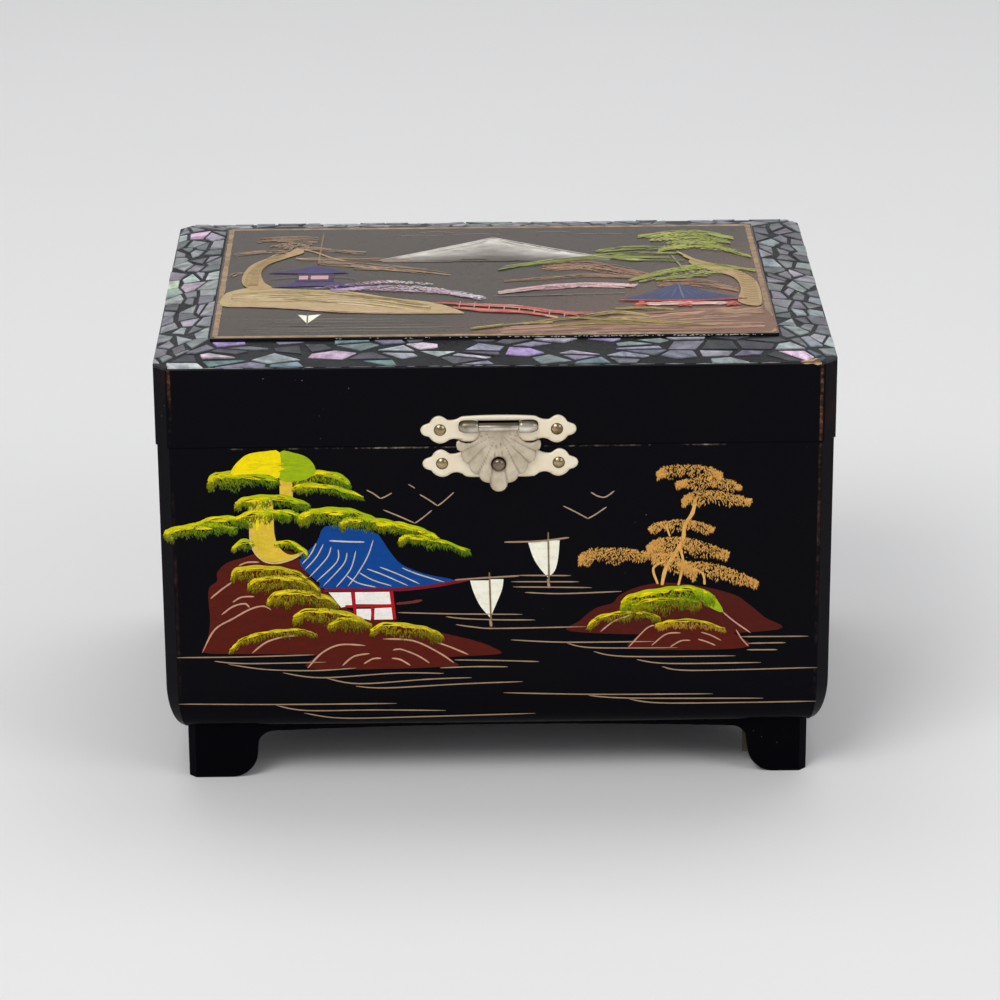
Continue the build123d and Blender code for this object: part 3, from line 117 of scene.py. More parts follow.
class Nodes:
    """A small wrapper that adds nodes to one material and links them."""

    def __init__(self, name):
        self.material = bpy.data.materials.new(name)
        self.material.use_nodes = True
        self.tree = self.material.node_tree
        self.shader = self.tree.nodes["Principled BSDF"]

    def add(self, kind, inputs=None, **settings):
        node = self.tree.nodes.new(kind)
        for key, value in settings.items():
            setattr(node, key, value)
        for key, value in (inputs or {}).items():
            self.set(node, key, value)
        return node

    def set(self, node, key, value):
        socket = node.inputs[key]
        if isinstance(value, bpy.types.NodeSocket):
            self.tree.links.new(value, socket)
        else:
            socket.default_value = value

    def place(self, scale=(1, 1, 1), rotation=(0, 0, 0)):
        """Coordinates in the shared frame, in metres, scaled."""
        coordinates = self.add("ShaderNodeTexCoord").outputs["Object"]
        mapping = self.add("ShaderNodeMapping", {"Vector": coordinates, "Scale": scale})
        mapping.inputs["Rotation"].default_value = rotation
        return mapping.outputs["Vector"]

    def noise(self, scale, detail=4.0, roughness=0.55, vector=None, distortion=0.0):
        inputs = {"Scale": scale, "Detail": detail, "Roughness": roughness}
        inputs["Distortion"] = distortion
        inputs["Vector"] = vector or self.place()
        return self.add("ShaderNodeTexNoise", inputs).outputs["Fac"]

    def voronoi(self, scale, feature="F1", output="Distance", vector=None):
        inputs = {"Scale": scale, "Vector": vector or self.place()}
        return self.add("ShaderNodeTexVoronoi", inputs, feature=feature).outputs[output]

    def ramp(self, value, *stops):
        """Colour ramp; each stop is (position, colour)."""
        node = self.add("ShaderNodeValToRGB", {"Fac": value})
        elements = node.color_ramp.elements
        while len(elements) < len(stops):
            elements.new(0.5)
        for element, (position, colour) in zip(elements, stops):
            element.position = position
            element.color = colour if len(colour) == 4 else (*colour, 1)
        return node.outputs["Color"]

    def fade(self, value, low, high):
        """0 below low, 1 above high, a straight line between."""
        inputs = {"Value": value, "From Min": low, "From Max": high}
        return self.add("ShaderNodeMapRange", inputs, clamp=True).outputs["Result"]

    def math(self, operation, a, b=0.0):
        return self.add("ShaderNodeMath", {0: a, 1: b}, operation=operation).outputs["Value"]

    def plus(self, a, b):
        return self.math("ADD", a, b)

    def times(self, a, b):
        return self.math("MULTIPLY", a, b)

    def mix(self, factor, a, b, blend="MIX"):
        node = self.add("ShaderNodeMix", data_type="RGBA", blend_type=blend)
        self.set(node, "Factor", factor)
        for socket, value in ((node.inputs[6], a), (node.inputs[7], b)):
            if isinstance(value, bpy.types.NodeSocket):
                self.tree.links.new(value, socket)
            else:
                socket.default_value = (*value, 1) if len(value) == 3 else value
        return node.outputs[2]

    def tinted(self, colour, tint):
        """A colour multiplied by a tint."""
        return self.mix(1.0, colour, tint, "MULTIPLY")

    def own_paint(self):
        """The colours that the mesh itself carries."""
        return self.add("ShaderNodeAttribute", attribute_name="paint").outputs["Color"]

    def axis(self, name, kind="Object"):
        """X, Y or Z of the point being shaded, in metres, or of its normal."""
        coordinates = self.add("ShaderNodeTexCoord").outputs[kind]
        return self.add("ShaderNodeSeparateXYZ", {"Vector": coordinates}).outputs[name]

    def bump(self, height, strength, distance):
        inputs = {"Height": height, "Strength": strength, "Distance": distance}
        return self.add("ShaderNodeBump", inputs).outputs["Normal"]

    def finish(self, **sockets):
        for key, value in sockets.items():
            self.set(self.shader, key.replace("_", " "), value)
        return self.material


# Materials


def band(m, value, centre, half, soft):
    """1 within half of a centre value, falling to 0 over the soft distance."""
    away = m.math("ABSOLUTE", m.math("SUBTRACT", value, centre))
    return m.fade(away, half + soft, half)


def lacquer(name, specular, roughness, tint):
    """Near-black lacquer, rubbed to red primer and pale wood in thin lines along its edges."""
    m = Nodes(name)
    x = m.math("ABSOLUTE", m.axis("X"))
    y = m.math("ABSOLUTE", m.axis("Y"))
    z = m.axis("Z")
    drift = m.noise(30.0, 3.0, 0.6)
    tall = m.noise(46.0, 4.0, 0.7, m.place((1, 1, 0.4)))
    fine = m.noise(420.0, 6.0, 0.75)
    lines = m.math("MAXIMUM", band(m, x, EDGE_X, 0.35 * MM, 0.3 * MM),
                   band(m, y, EDGE_Y, 0.35 * MM, 0.3 * MM))
    rims = m.math("MAXIMUM", band(m, z, SEAM_Z, 0.12 * MM, 0.22 * MM),
                  band(m, z, LID_EDGE_Z, 0.12 * MM, 0.3 * MM))
    corner = LID_HIGH.x - CORNER_BEVEL + LID_HIGH.y
    near = m.fade(m.plus(x, y), corner - 0.6 * MM, corner)
    upright = m.times(lines, m.fade(m.plus(tall, m.times(fine, 0.3)), 0.6, 0.8))
    on_lid = m.plus(0.22, m.times(m.fade(z, SEAM_Z, SEAM_Z + MM), 0.78))
    on_right = m.plus(0.55, m.times(m.fade(m.axis("X"), -0.02, 0.02), 0.45))
    off_seam = m.fade(m.math("ABSOLUTE", m.math("SUBTRACT", z, wall_high.z)), 0.4 * MM, 0.9 * MM)
    above_round = m.times(m.fade(z, 30 * MM, 38 * MM), m.times(on_lid, on_right))
    above_round = m.times(above_round, off_seam)
    upright = m.times(upright, above_round)
    level = m.times(rims, m.fade(m.plus(drift, m.times(fine, 0.5)), 0.78, 0.96))
    level = m.times(level, 0.7)
    bevel = m.times(near, m.fade(tall, 0.5, 0.72))
    base = m.mix(drift, (0.0018, 0.0016, 0.0042), tint)
    base = m.mix(m.times(bevel, 0.8), base, (0.03, 0.006, 0.006))
    wear_colour = m.ramp(fine, (0.36, (0.06, 0.015, 0.008)), (0.52, (0.2, 0.075, 0.04)),
                         (0.68, (0.44, 0.28, 0.18)))
    pale = m.ramp(fine, (0.4, (0.12, 0.07, 0.05)), (0.6, (0.5, 0.42, 0.36)))
    colour = m.mix(level, m.mix(upright, base, wear_colour), pale)
    specks = m.times(m.fade(m.voronoi(300.0), 0.05, 0.03), m.fade(m.noise(25.0, 2.0), 0.6, 0.66))
    colour = m.mix(specks, colour, (0.3, 0.27, 0.25))
    worn = m.math("MAXIMUM", upright, level)
    wave = m.plus(m.noise(24.0, 2.0), m.times(fine, 0.04))
    rough = m.plus(roughness, m.times(worn, 0.35))
    m.set(m.shader, "Specular IOR Level", specular)
    return m.finish(Base_Color=colour, Roughness=rough, Normal=m.bump(wave, 0.12, 0.6 * MM))


def bare_wood():
    """Pale wood and old glue where the lacquer has chipped off."""
    m = Nodes("chipped_wood")
    n = m.noise(900.0, 6.0, 0.7, m.place((0.4, 1.5, 1.5)))
    ramp = m.ramp(n, (0.35, (0.2, 0.1, 0.04)), (0.5, (0.5, 0.32, 0.14)), (0.66, (0.68, 0.5, 0.28)))
    return m.finish(Base_Color=ramp, Roughness=0.75, Normal=m.bump(n, 0.6, 0.4 * MM))


def picture_ground():
    """Glossy ground of the picture on the lid, dark with a warm cast to the right front."""
    m = Nodes("picture_ground")
    x, y = m.axis("X"), m.axis("Y")
    cloud = m.noise(16.0, 4.0, 0.6)
    fine = m.noise(340.0, 5.0, 0.7)
    warm = m.fade(m.math("SUBTRACT", x, m.times(y, 1.1)), 0.03, 0.12)
    colour = m.mix(cloud, (0.056, 0.042, 0.03), (0.07, 0.053, 0.038))
    colour = m.mix(warm, colour, (0.17, 0.09, 0.06))
    colour = m.mix(m.times(fine, 0.25), colour, (0.09, 0.07, 0.055))
    colour = m.mix(m.fade(m.axis("Z", "Normal"), 0.3, 0.7), (0.004, 0.003, 0.004), colour)
    m.set(m.shader, "Specular IOR Level", 0.32)
    rough = m.plus(0.2, m.times(fine, 0.12))
    return m.finish(Base_Color=colour, Roughness=rough, Normal=m.bump(cloud, 0.1, 0.5 * MM))


def mosaic_ground():
    """Black filler round the shell pieces, with crushed shell in it."""
    m = Nodes("mosaic_ground")
    grit = m.voronoi(620.0)
    n = m.noise(200.0, 6.0, 0.75)
    cloud = m.noise(36.0, 3.0)
    speck = m.times(m.fade(grit, 0.24, 0.1), m.fade(n, 0.48, 0.62))
    colour = m.mix(m.fade(cloud, 0.4, 0.65), (0.006, 0.006, 0.007), (0.02, 0.021, 0.024))
    colour = m.mix(m.times(speck, 0.6), colour, (0.12, 0.12, 0.13))
    height = m.plus(n, m.times(grit, 0.6))
    m.set(m.shader, "Specular IOR Level", 0.25)
    return m.finish(Base_Color=colour, Roughness=0.45, Normal=m.bump(height, 0.7, 0.4 * MM))


def painted(name, roughness=0.5, specular=0.12, bump=0.35):
    """Oil paint in the mesh's own colours, streaked and a little raised."""
    m = Nodes(name)
    own = m.own_paint()
    n = m.noise(1100.0, 4.0, 0.7)
    streak = m.noise(240.0, 4.0, 0.65, m.place((1.0, 1.0, 2.4)))
    shade = m.plus(m.times(n, 0.4), m.times(streak, 0.6))
    dark = m.tinted(own, (0.84, 0.83, 0.81))
    light = m.tinted(own, (1.12, 1.1, 1.08))
    colour = m.mix(m.fade(shade, 0.32, 0.62), dark, light)
    m.set(m.shader, "Specular IOR Level", specular)
    return m.finish(Base_Color=colour, Roughness=roughness, Normal=m.bump(n, bump, 0.12 * MM))


def nacre():
    """Mother of pearl: each chip's own colour, clouded, with a faint drift of pink and green."""
    m = Nodes("nacre")
    own = m.own_paint()
    turn = m.add("ShaderNodeAttribute", attribute_name="grain").outputs["Vector"]
    along = m.add("ShaderNodeVectorMath", {0: m.place(), 1: turn}, operation="DOT_PRODUCT")
    bend = m.times(m.noise(120.0, 3.0, 0.6), 5.0 * MM)
    place = m.add("ShaderNodeCombineXYZ", {"X": m.plus(along.outputs["Value"], bend)})
    band_noise = m.noise(260.0, 3.0, 0.6, place.outputs["Vector"])
    fine = m.noise(900.0, 3.0, 0.6, place.outputs["Vector"])
    cloud = m.noise(210.0, 5.0, 0.7)
    mixed = m.plus(m.times(band_noise, 0.45), m.times(cloud, 0.55))
    light = m.tinted(own, (1.45, 1.45, 1.48))
    dark = m.tinted(own, (0.42, 0.43, 0.46))
    colour = m.mix(m.fade(mixed, 0.38, 0.6), dark, light)
    tint = m.ramp(m.noise(75.0, 2.0), (0.38, (1.0, 0.88, 0.97)), (0.5, (1, 1, 1)),
                  (0.62, (0.88, 1.0, 0.96)))
    colour = m.mix(0.4, colour, m.tinted(colour, tint))
    colour = m.mix(m.fade(fine, 0.58, 0.7), colour, m.tinted(own, (0.3, 0.3, 0.32)))
    m.set(m.shader, "Specular IOR Level", 0.5)
    rough = m.plus(0.2, m.times(cloud, 0.3))
    return m.finish(Base_Color=colour, Roughness=rough, Normal=m.bump(mixed, 0.5, 0.3 * MM))


def metal(name, light, dark, roughness=0.3, scale=500.0, stipple=0.25, metallic=1.0, toned=False,
          shaded_top=False):
    """Plated metal with fine mottling, small pits and a tarnish that follows the noise; one option adds
    painted shade on its upper faces.
    """
    m = Nodes(name)
    n = m.noise(scale, 5.0, 0.65)
    spots = m.noise(scale * 0.22, 3.0, 0.6)
    pits = m.fade(m.voronoi(scale * 3.2), 0.28, 0.1)
    colour = m.mix(m.fade(spots, 0.35, 0.75), light, dark)
    colour = m.mix(m.times(pits, 0.35), colour, dark)
    height = m.math("SUBTRACT", n, m.times(pits, 0.8))
    rough = m.plus(roughness, m.times(n, 0.16))
    if toned:
        own = m.own_paint()
        colour = m.tinted(colour, own)
    # Painted shade: faces that look upwards are mixed towards the dark colour
    if shaded_top:
        upward = m.fade(m.axis("Z", "Normal"), 0.05, 0.6)
        colour = m.mix(m.times(upward, 0.85), colour, dark)
    m.shader.inputs["Metallic"].default_value = metallic
    return m.finish(Base_Color=colour, Roughness=rough, Normal=m.bump(height, stipple, 0.1 * MM))


def brushed(name, light, dark, stretch=(1, 30, 30), roughness=0.28):
    """Machined metal with fine lines along X."""
    m = Nodes(name)
    lines = m.noise(180.0, 4.0, 0.7, m.place(stretch))
    n = m.noise(120.0, 3.0)
    colour = m.mix(m.times(lines, n), light, dark)
    rough = m.plus(roughness, m.times(lines, 0.14))
    m.shader.inputs["Metallic"].default_value = 1.0
    return m.finish(Base_Color=colour, Roughness=rough, Normal=m.bump(lines, 0.12, 0.05 * MM))


def plain_wood(name, share):
    """Unfinished wood; a low share of its colour makes it dark, as stain and as painted shade."""
    m = Nodes(name)
    grain = m.noise(60.0, 6.0, 0.65, m.place((0.35, 4.0, 4.0)), 0.6)
    pores = m.noise(900.0, 3.0, 0.7, m.place((0.15, 3.0, 3.0)))
    colour = m.ramp(grain, (0.3, (0.42, 0.26, 0.13)), (0.55, (0.6, 0.42, 0.24)), (0.75, (0.5, 0.33, 0.18)))
    colour = m.mix(m.fade(pores, 0.6, 0.72), colour, (0.25, 0.14, 0.07))
    colour = m.tinted(colour, (share, share, share))
    return m.finish(Base_Color=colour, Roughness=0.7, Normal=m.bump(grain, 0.4, 0.3 * MM))


def velvet():
    """Red velvet: short pile in soft patches where it lies another way."""
    m = Nodes("red_velvet")
    pile = m.noise(1400.0, 4.0, 0.75)
    lie = m.noise(34.0, 3.0, 0.6)
    colour = m.mix(m.fade(lie, 0.35, 0.7), (0.21, 0.008, 0.018), (0.33, 0.016, 0.034))
    colour = m.mix(m.times(pile, 0.5), colour, (0.1, 0.003, 0.008))
    m.shader.inputs["Sheen Weight"].default_value = 0.7
    m.shader.inputs["Sheen Roughness"].default_value = 0.35
    m.shader.inputs["Sheen Tint"].default_value = (1.0, 0.42, 0.42, 1)
    height = m.plus(pile, m.times(lie, 0.6))
    return m.finish(Base_Color=colour, Roughness=0.9, Normal=m.bump(height, 0.45, 0.4 * MM))


def mirror_glass():
    m = Nodes("mirror_glass")
    spots = m.fade(m.noise(22.0, 5.0, 0.7), 0.7, 0.82)
    colour = m.mix(m.times(spots, 0.3), (0.9, 0.92, 0.91), (0.45, 0.42, 0.38))
    m.shader.inputs["Metallic"].default_value = 1.0
    rough = m.plus(0.02, m.times(spots, 0.18))
    return m.finish(Base_Color=colour, Roughness=rough)


def clear_pane():
    m = Nodes("clear_pane")
    smear = m.noise(60.0, 4.0, 0.6)
    m.shader.inputs["Transmission Weight"].default_value = 1.0
    m.shader.inputs["IOR"].default_value = 1.49
    rough = m.times(m.fade(smear, 0.5, 0.8), 0.12)
    return m.finish(Base_Color=m.mix(smear, (0.94, 0.97, 0.96), (0.9, 0.93, 0.92)), Roughness=rough)


BLACK = lacquer("black_lacquer", 0.05, 0.16, (0.0022, 0.0018, 0.0026))
BASE_BLACK = lacquer("base_lacquer", 0.02, 0.35, (0.0016, 0.0012, 0.0012))
CHIPPED = bare_wood()
PICTURE_GROUND = picture_ground()
MOSAIC_GROUND = mosaic_ground()
PAINT = painted("picture_paint")
THIN_PAINT = painted("thin_paint", 0.5, 0.12, 0.2)
TOP_PAINT = painted("lid_picture_paint", 0.4, 0.3, 0.3)
NACRE = nacre()
LATCH = metal("latch_plating", (1.0, 0.9, 0.69), (0.92, 0.77, 0.54), 0.36, 420.0, 0.35, 0.2)
LATCH_SHELL = metal("latch_shell_plating", (0.74, 0.64, 0.48), (0.46, 0.38, 0.26), 0.42, 800.0, 1.0, 0.35,
                    True)
# Knuckles and barrel carry painted shade on their upper faces
KNUCKLE_METAL = metal("latch_knuckle_metal", (0.86, 0.8, 0.69), (0.2, 0.15, 0.09), 0.28, 420.0, 0.3, 0.95,
                      False, True)
NAIL_BRASS = metal("nail_brass", (0.62, 0.48, 0.27), (0.12, 0.06, 0.022), 0.18, 900.0, 0.3)
STUD_METAL = metal("stud_metal", (0.3, 0.23, 0.16), (0.05, 0.034, 0.024), 0.16, 600.0, 0.2)
# Dark metal for painted shade round the knuckles and the stud, and for dark rings round the nail heads
TARNISH_AND_SHADE = metal("latch_tarnish_and_shade", (0.1, 0.065, 0.035), (0.03, 0.02, 0.012), 0.5, 600.0, 0.2, 0.4)
HINGE_BRASS = metal("hinge_brass", (0.74, 0.58, 0.28), (0.42, 0.29, 0.12), 0.3)
BRASS = brushed("movement_brass", (0.82, 0.64, 0.3), (0.5, 0.35, 0.14))
STEEL = brushed("movement_steel", (0.66, 0.66, 0.67), (0.3, 0.3, 0.31))
CASTING = metal("bedplate_casting", (0.62, 0.6, 0.55), (0.4, 0.38, 0.33), 0.42, 300.0, 0.4)
KEY_BRASS = metal("key_brass", (0.78, 0.62, 0.3), (0.45, 0.32, 0.13), 0.22, 300.0, 0.15)
WOOD = plain_wood("plain_wood", 1.0)
# Corner blocks under the base: darkened partly as a dark stain, partly as painted shade under the apron
DARKENED_BLOCK_WOOD = plain_wood("stained_and_shaded_wood", 0.12)
VELVET = velvet()
MIRROR = mirror_glass()
PANE = clear_pane()

BY_SLOT = {
    "black_lacquer": BLACK,
    "picture_lacquer": PICTURE_GROUND,
    "shell_chips": MOSAIC_GROUND,
    "plain_wood": WOOD,
    "red_velvet": VELVET,
    "mirror_glass": MIRROR,
    "clear_pane": PANE,
    "latch_metal": LATCH,
    "hinge_metal": HINGE_BRASS,
    "movement_brass": BRASS,
    "movement_steel": STEEL,
    "bedplate_metal": CASTING,
    "key_metal": KEY_BRASS,
}
BY_NODE = {
    "base_front": BASE_BLACK,
    "base_back": BASE_BLACK,
    "base_left": BASE_BLACK,
    "base_right": BASE_BLACK,
    "base_corner_blocks": DARKENED_BLOCK_WOOD,
    "latch_hasp": LATCH_SHELL,
    "latch_upper_nails": NAIL_BRASS,
    "latch_lower_nails": NAIL_BRASS,
    "latch_stud": STUD_METAL,
}
for part in frame["record"]["subparts"]:
    material = BY_NODE.get(part["node"], BY_SLOT[part["material_slot"]])
    mesh = nodes[part["node"]].data
    mesh.materials.clear()
    mesh.materials.append(material)


# Mesh helpers


class Sketch:
    """Collects closed pieces of raised paint or shell, then makes one object of them.

    A plane gives the place of a point (u, v) in millimetres at a height above the surface."""

    def __init__(self, name, plane, body, material, slot):
        self.name, self.plane, self.body = name, plane, body
        self.material, self.slot = material, slot
        self.points, self.faces, self.colours, self.grains = [], [], [], []
        self.turn = 0

    def base(self, layer):
        """Height of the next piece in a layer; neighbours never lie at exactly the same height."""
        self.turn += 1
        return BASE_GAP + LAYER * layer + LAYER_STEP * (self.turn % LAYER_TURNS)

    def add(self, points, faces, colours, grain=(1, 0, 0)):
        start = len(self.points)
        self.points += points
        self.faces += [tuple(start + i for i in face) for face in faces]
        self.colours += colours
        self.grains += [grain] * len(points)

    def slab(self, outline, colour, low, high, inset=0.0, grain=(1, 0, 0)):
        """A flat closed piece over an outline; inset slopes its sides."""
        outline = anticlockwise(outline)
        n = len(outline)
        top = inset_outline(outline, inset) if inset else outline
        points = [self.plane(u, v, low) for u, v in outline]
        points += [self.plane(u, v, high) for u, v in top]
        faces = [tuple(range(n - 1, -1, -1)), tuple(range(n, 2 * n))]
        faces += [(i, (i + 1) % n, n + (i + 1) % n, n + i) for i in range(n)]
        shades = [colour(u, v) for u, v in outline] if callable(colour) else [colour] * n
        self.add(points, faces, shades * 2, grain)

    def ribbon(self, path, widths, colours, low, high):
        """A brush line along a path, with a width and a colour at each point."""
        n = len(path)
        points, faces, shades = [], [], []
        for i, (u, v) in enumerate(path):
            a, b = path[max(i - 1, 0)], path[min(i + 1, n - 1)]
            du, dv = b[0] - a[0], b[1] - a[1]
            size = math.hypot(du, dv) or 1.0
            nu, nv = -dv / size * widths[i] / 2, du / size * widths[i] / 2
            points.append(self.plane(u + nu, v + nv, low))
            points.append(self.plane(u - nu, v - nv, low))
            points.append(self.plane(u - nu * 0.6, v - nv * 0.6, high))
            points.append(self.plane(u + nu * 0.6, v + nv * 0.6, high))
            shades += [colours[i]] * 4
        for i in range(n - 1):
            a, b = 4 * i, 4 * i + 4
            for j in range(4):
                k = (j + 1) % 4
                faces.append((a + j, a + k, b + k, b + j))
        end = 4 * (n - 1)
        faces += [(3, 2, 1, 0), (end, end + 1, end + 2, end + 3)]
        self.add(points, faces, shades)

    def dab(self, u, v, length, width, angle, colour, low, high):
        """One touch of a stiff brush: a small pointed ridge."""
        cu, cv = math.cos(angle), math.sin(angle)
        shape = ((-0.5, 0.0), (-0.15, 0.5), (0.5, 0.0), (-0.15, -0.5))
        outline = anticlockwise([
            (u + a * length * cu - b * width * cv, v + a * length * cv + b * width * cu)
            for a, b in shape
        ])
        points = [self.plane(p, q, low) for p, q in outline] + [self.plane(u, v, high)]
        faces = [(3, 2, 1, 0), (0, 1, 4), (1, 2, 4), (2, 3, 4), (3, 0, 4)]
        self.add(points, faces, [colour] * 5)

    def build(self):
        mesh = new_mesh(self.name, self.points, self.faces)
        set_paint(mesh, self.colours)
        directions = mesh.attributes.new("grain", "FLOAT_VECTOR", "POINT")
        directions.data.foreach_set("vector", [c for grain in self.grains for c in grain])
        place_mesh(mesh, self.name, self.body, self.material)


def new_mesh(name, points, faces):
    mesh = bpy.data.meshes.new(name)
    mesh.from_pydata([tuple(p) for p in points], [], faces)
    return mesh


def set_paint(mesh, colours):
    """Gives each point of a mesh its own colour."""
    paint = mesh.attributes.new("paint", "FLOAT_COLOR", "POINT")
    paint.data.foreach_set("color", [c for colour in colours for c in (*colour, 1.0)])


def add_object(name, data):
    """A new object in the scene."""
    item = bpy.data.objects.new(name, data)
    bpy.context.scene.collection.objects.link(item)
    return item


def place_mesh(mesh, name, body, material):
    """Turns a finished mesh into a piece that rides on a body."""
    work = bmesh.new()
    work.from_mesh(mesh)
    bmesh.ops.recalc_face_normals(work, faces=work.faces)
    work.to_mesh(mesh)
    work.free()
    mesh.materials.append(material)
    piece = add_object(name, mesh)
    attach(piece, body)
    return piece


def edges_of(loop):
    """Each side of a closed outline, as a pair of its points."""
    return zip(loop, loop[1:] + loop[:1])


def signed_area(outline):
    return sum(a[0] * b[1] - b[0] * a[1] for a, b in edges_of(outline)) / 2


def anticlockwise(outline):
    return outline[::-1] if signed_area(outline) < 0 else outline


def centre_of(outline):
    """Mean of the corners of an outline."""
    return [sum(p[k] for p in outline) / len(outline) for k in (0, 1)]


def inset_outline(outline, distance):
    """Draws each corner in towards the middle by about the distance."""
    cu, cv = centre_of(outline)
    result = []
    for u, v in outline:
        size = math.hypot(u - cu, v - cv) or 1.0
        share = max(0.0, 1 - distance / size)
        result.append((cu + (u - cu) * share, cv + (v - cv) * share))
    return result


def clip(outline, a, b, c):
    """Keeps the part of an outline where a * u + b * v <= c."""
    kept = []
    for p, q in edges_of(outline):
        dp, dq = a * p[0] + b * p[1] - c, a * q[0] + b * q[1] - c
        if dp <= 0:
            kept.append(p)
        if (dp < 0 < dq) or (dq < 0 < dp):
            t = dp / (dp - dq)
            kept.append((p[0] + t * (q[0] - p[0]), p[1] + t * (q[1] - p[1])))
    return kept


def smooth(points, steps=8, closed=False):
    """Points along a smooth curve through the given ones."""
    n = len(points)
    result = []
    spans = n if closed else n - 1
    for i in range(spans):
        if closed:
            p0, p1, p2, p3 = (points[(i + k) % n] for k in (-1, 0, 1, 2))
        else:
            p0, p1 = points[max(i - 1, 0)], points[i]
            p2, p3 = points[i + 1], points[min(i + 2, n - 1)]
        for s in range(steps):
            t = s / steps
            result.append(tuple(
                0.5 * (2 * b + (c - a) * t + (2 * a - 5 * b + 4 * c - d) * t * t
                       + (3 * b - a - 3 * c + d) * t ** 3)
                for a, b, c, d in zip(p0, p1, p2, p3)
            ))
    if not closed:
        result.append(tuple(points[-1]))
    return result


def vary(colour, amount=0.1):
    """The colour a little lighter or darker."""
    share = 1 + rng.uniform(-amount, amount)
    return tuple(max(0.0, c * share) for c in colour)


def blend(a, b, t):
    return tuple(p + (q - p) * t for p, q in zip(a, b))


def stroke(sketch, points, width, colour, layer=0, ends=0.25, steps=6):
    """A thin brush line that swells in the middle and tapers at its ends."""
    path = smooth(points, steps)
    n = len(path) - 1
    shade = vary(colour, 0.06)
    widths = []
    for i in range(n + 1):
        t = i / n
        swell = min(1.0, ends + 6 * min(t, 1 - t))
        widths.append(width * swell * rng.uniform(0.86, 1.1))
    low = sketch.base(layer)
    sketch.ribbon(path, widths, [shade] * (n + 1), low, low + LINE_RISE)


def fill(sketch, points, colour, layer=0, steps=5, rounded=True):
    """A flat patch of paint inside a closed outline."""
    outline = smooth(points, steps, True) if rounded else list(points)
    low = sketch.base(layer)
    sketch.slab(outline, colour, low, low + FLAT_RISE)


def path_length(path):
    return sum(math.dist(a, b) for a, b in zip(path, path[1:]))


def hump(t):
    """Full in the middle of a path, falling off near its ends."""
    return math.sin(math.pi * min(max(t, 0.02), 0.98)) ** 0.6


def at(path, share):
    """The point at a share of the way along a path, by its list of points."""
    place = min(max(share, 0.0), 1.0) * (len(path) - 1)
    i = min(int(place), len(path) - 2)
    return blend(path[i], path[i + 1], place - i)


# Picture on the front of the case: u is X and v is the height above the table, in millimetres


def front_plane(u, v, height):
    """The front of the case, which turns back at its cut corners and draws in at the bottom."""
    past = abs(u) - FRONT_FLAT
    height += BEND_LIFT * max(0.0, 1 - abs(past) / BEND_REACH)
    depth = 0.0
    if past > 0:
        depth = past
        u += math.copysign(height * HALF_ROOT, u)
        height *= HALF_ROOT
    below = min(1.0, max(0.0, board_high.z / MM - v) / ((board_high.z - board_low.z) / MM))
    inward = BOTTOM_ROUND_IN * (1 - math.sqrt(1 - below ** 2))
    return Vector((u * MM, FRONT_Y + (depth + inward - height) * MM, (v - SIGHT_SLOPE * inward) * MM))


def top_plane(u, v, height):
    return Vector((u * MM, v * MM, PANEL_TOP + height * MM))


YELLOW = (1.0, 0.8, 0.0)
LEMON = (0.62, 0.6, 0.008)
LIME = (0.36, 0.5, 0.004)
LEAF = (0.12, 0.22, 0.01)
DEEP_LEAF = (0.03, 0.09, 0.02)
OLIVE = (0.5, 0.42, 0.02)
DEEP_OLIVE = (0.075, 0.045, 0.006)
TRUNK_TAN = (0.8, 0.55, 0.045)
TRUNK_EDGE = (0.72, 0.55, 0.24)
MOUND = (0.1, 0.009, 0.003)
MOUND_DARK = (0.085, 0.009, 0.005)
CONTOUR = (0.62, 0.34, 0.22)
ROOF = (0.002, 0.062, 0.3)
ROOF_LINE = (0.62, 0.6, 0.55)
EAVE = (0.2, 0.008, 0.018)
HOUSE_RED = (0.5, 0.004, 0.012)
PANEL_WHITE = (1.0, 0.96, 0.9)
SAIL = (1.0, 0.99, 0.82)
SPAR = (0.24, 0.17, 0.08)
WATER = (0.4, 0.27, 0.17)
BIRD = (0.45, 0.32, 0.22)
ORANGE = (0.82, 0.47, 0.12)
ORANGE_DARK = (0.45, 0.2, 0.05)


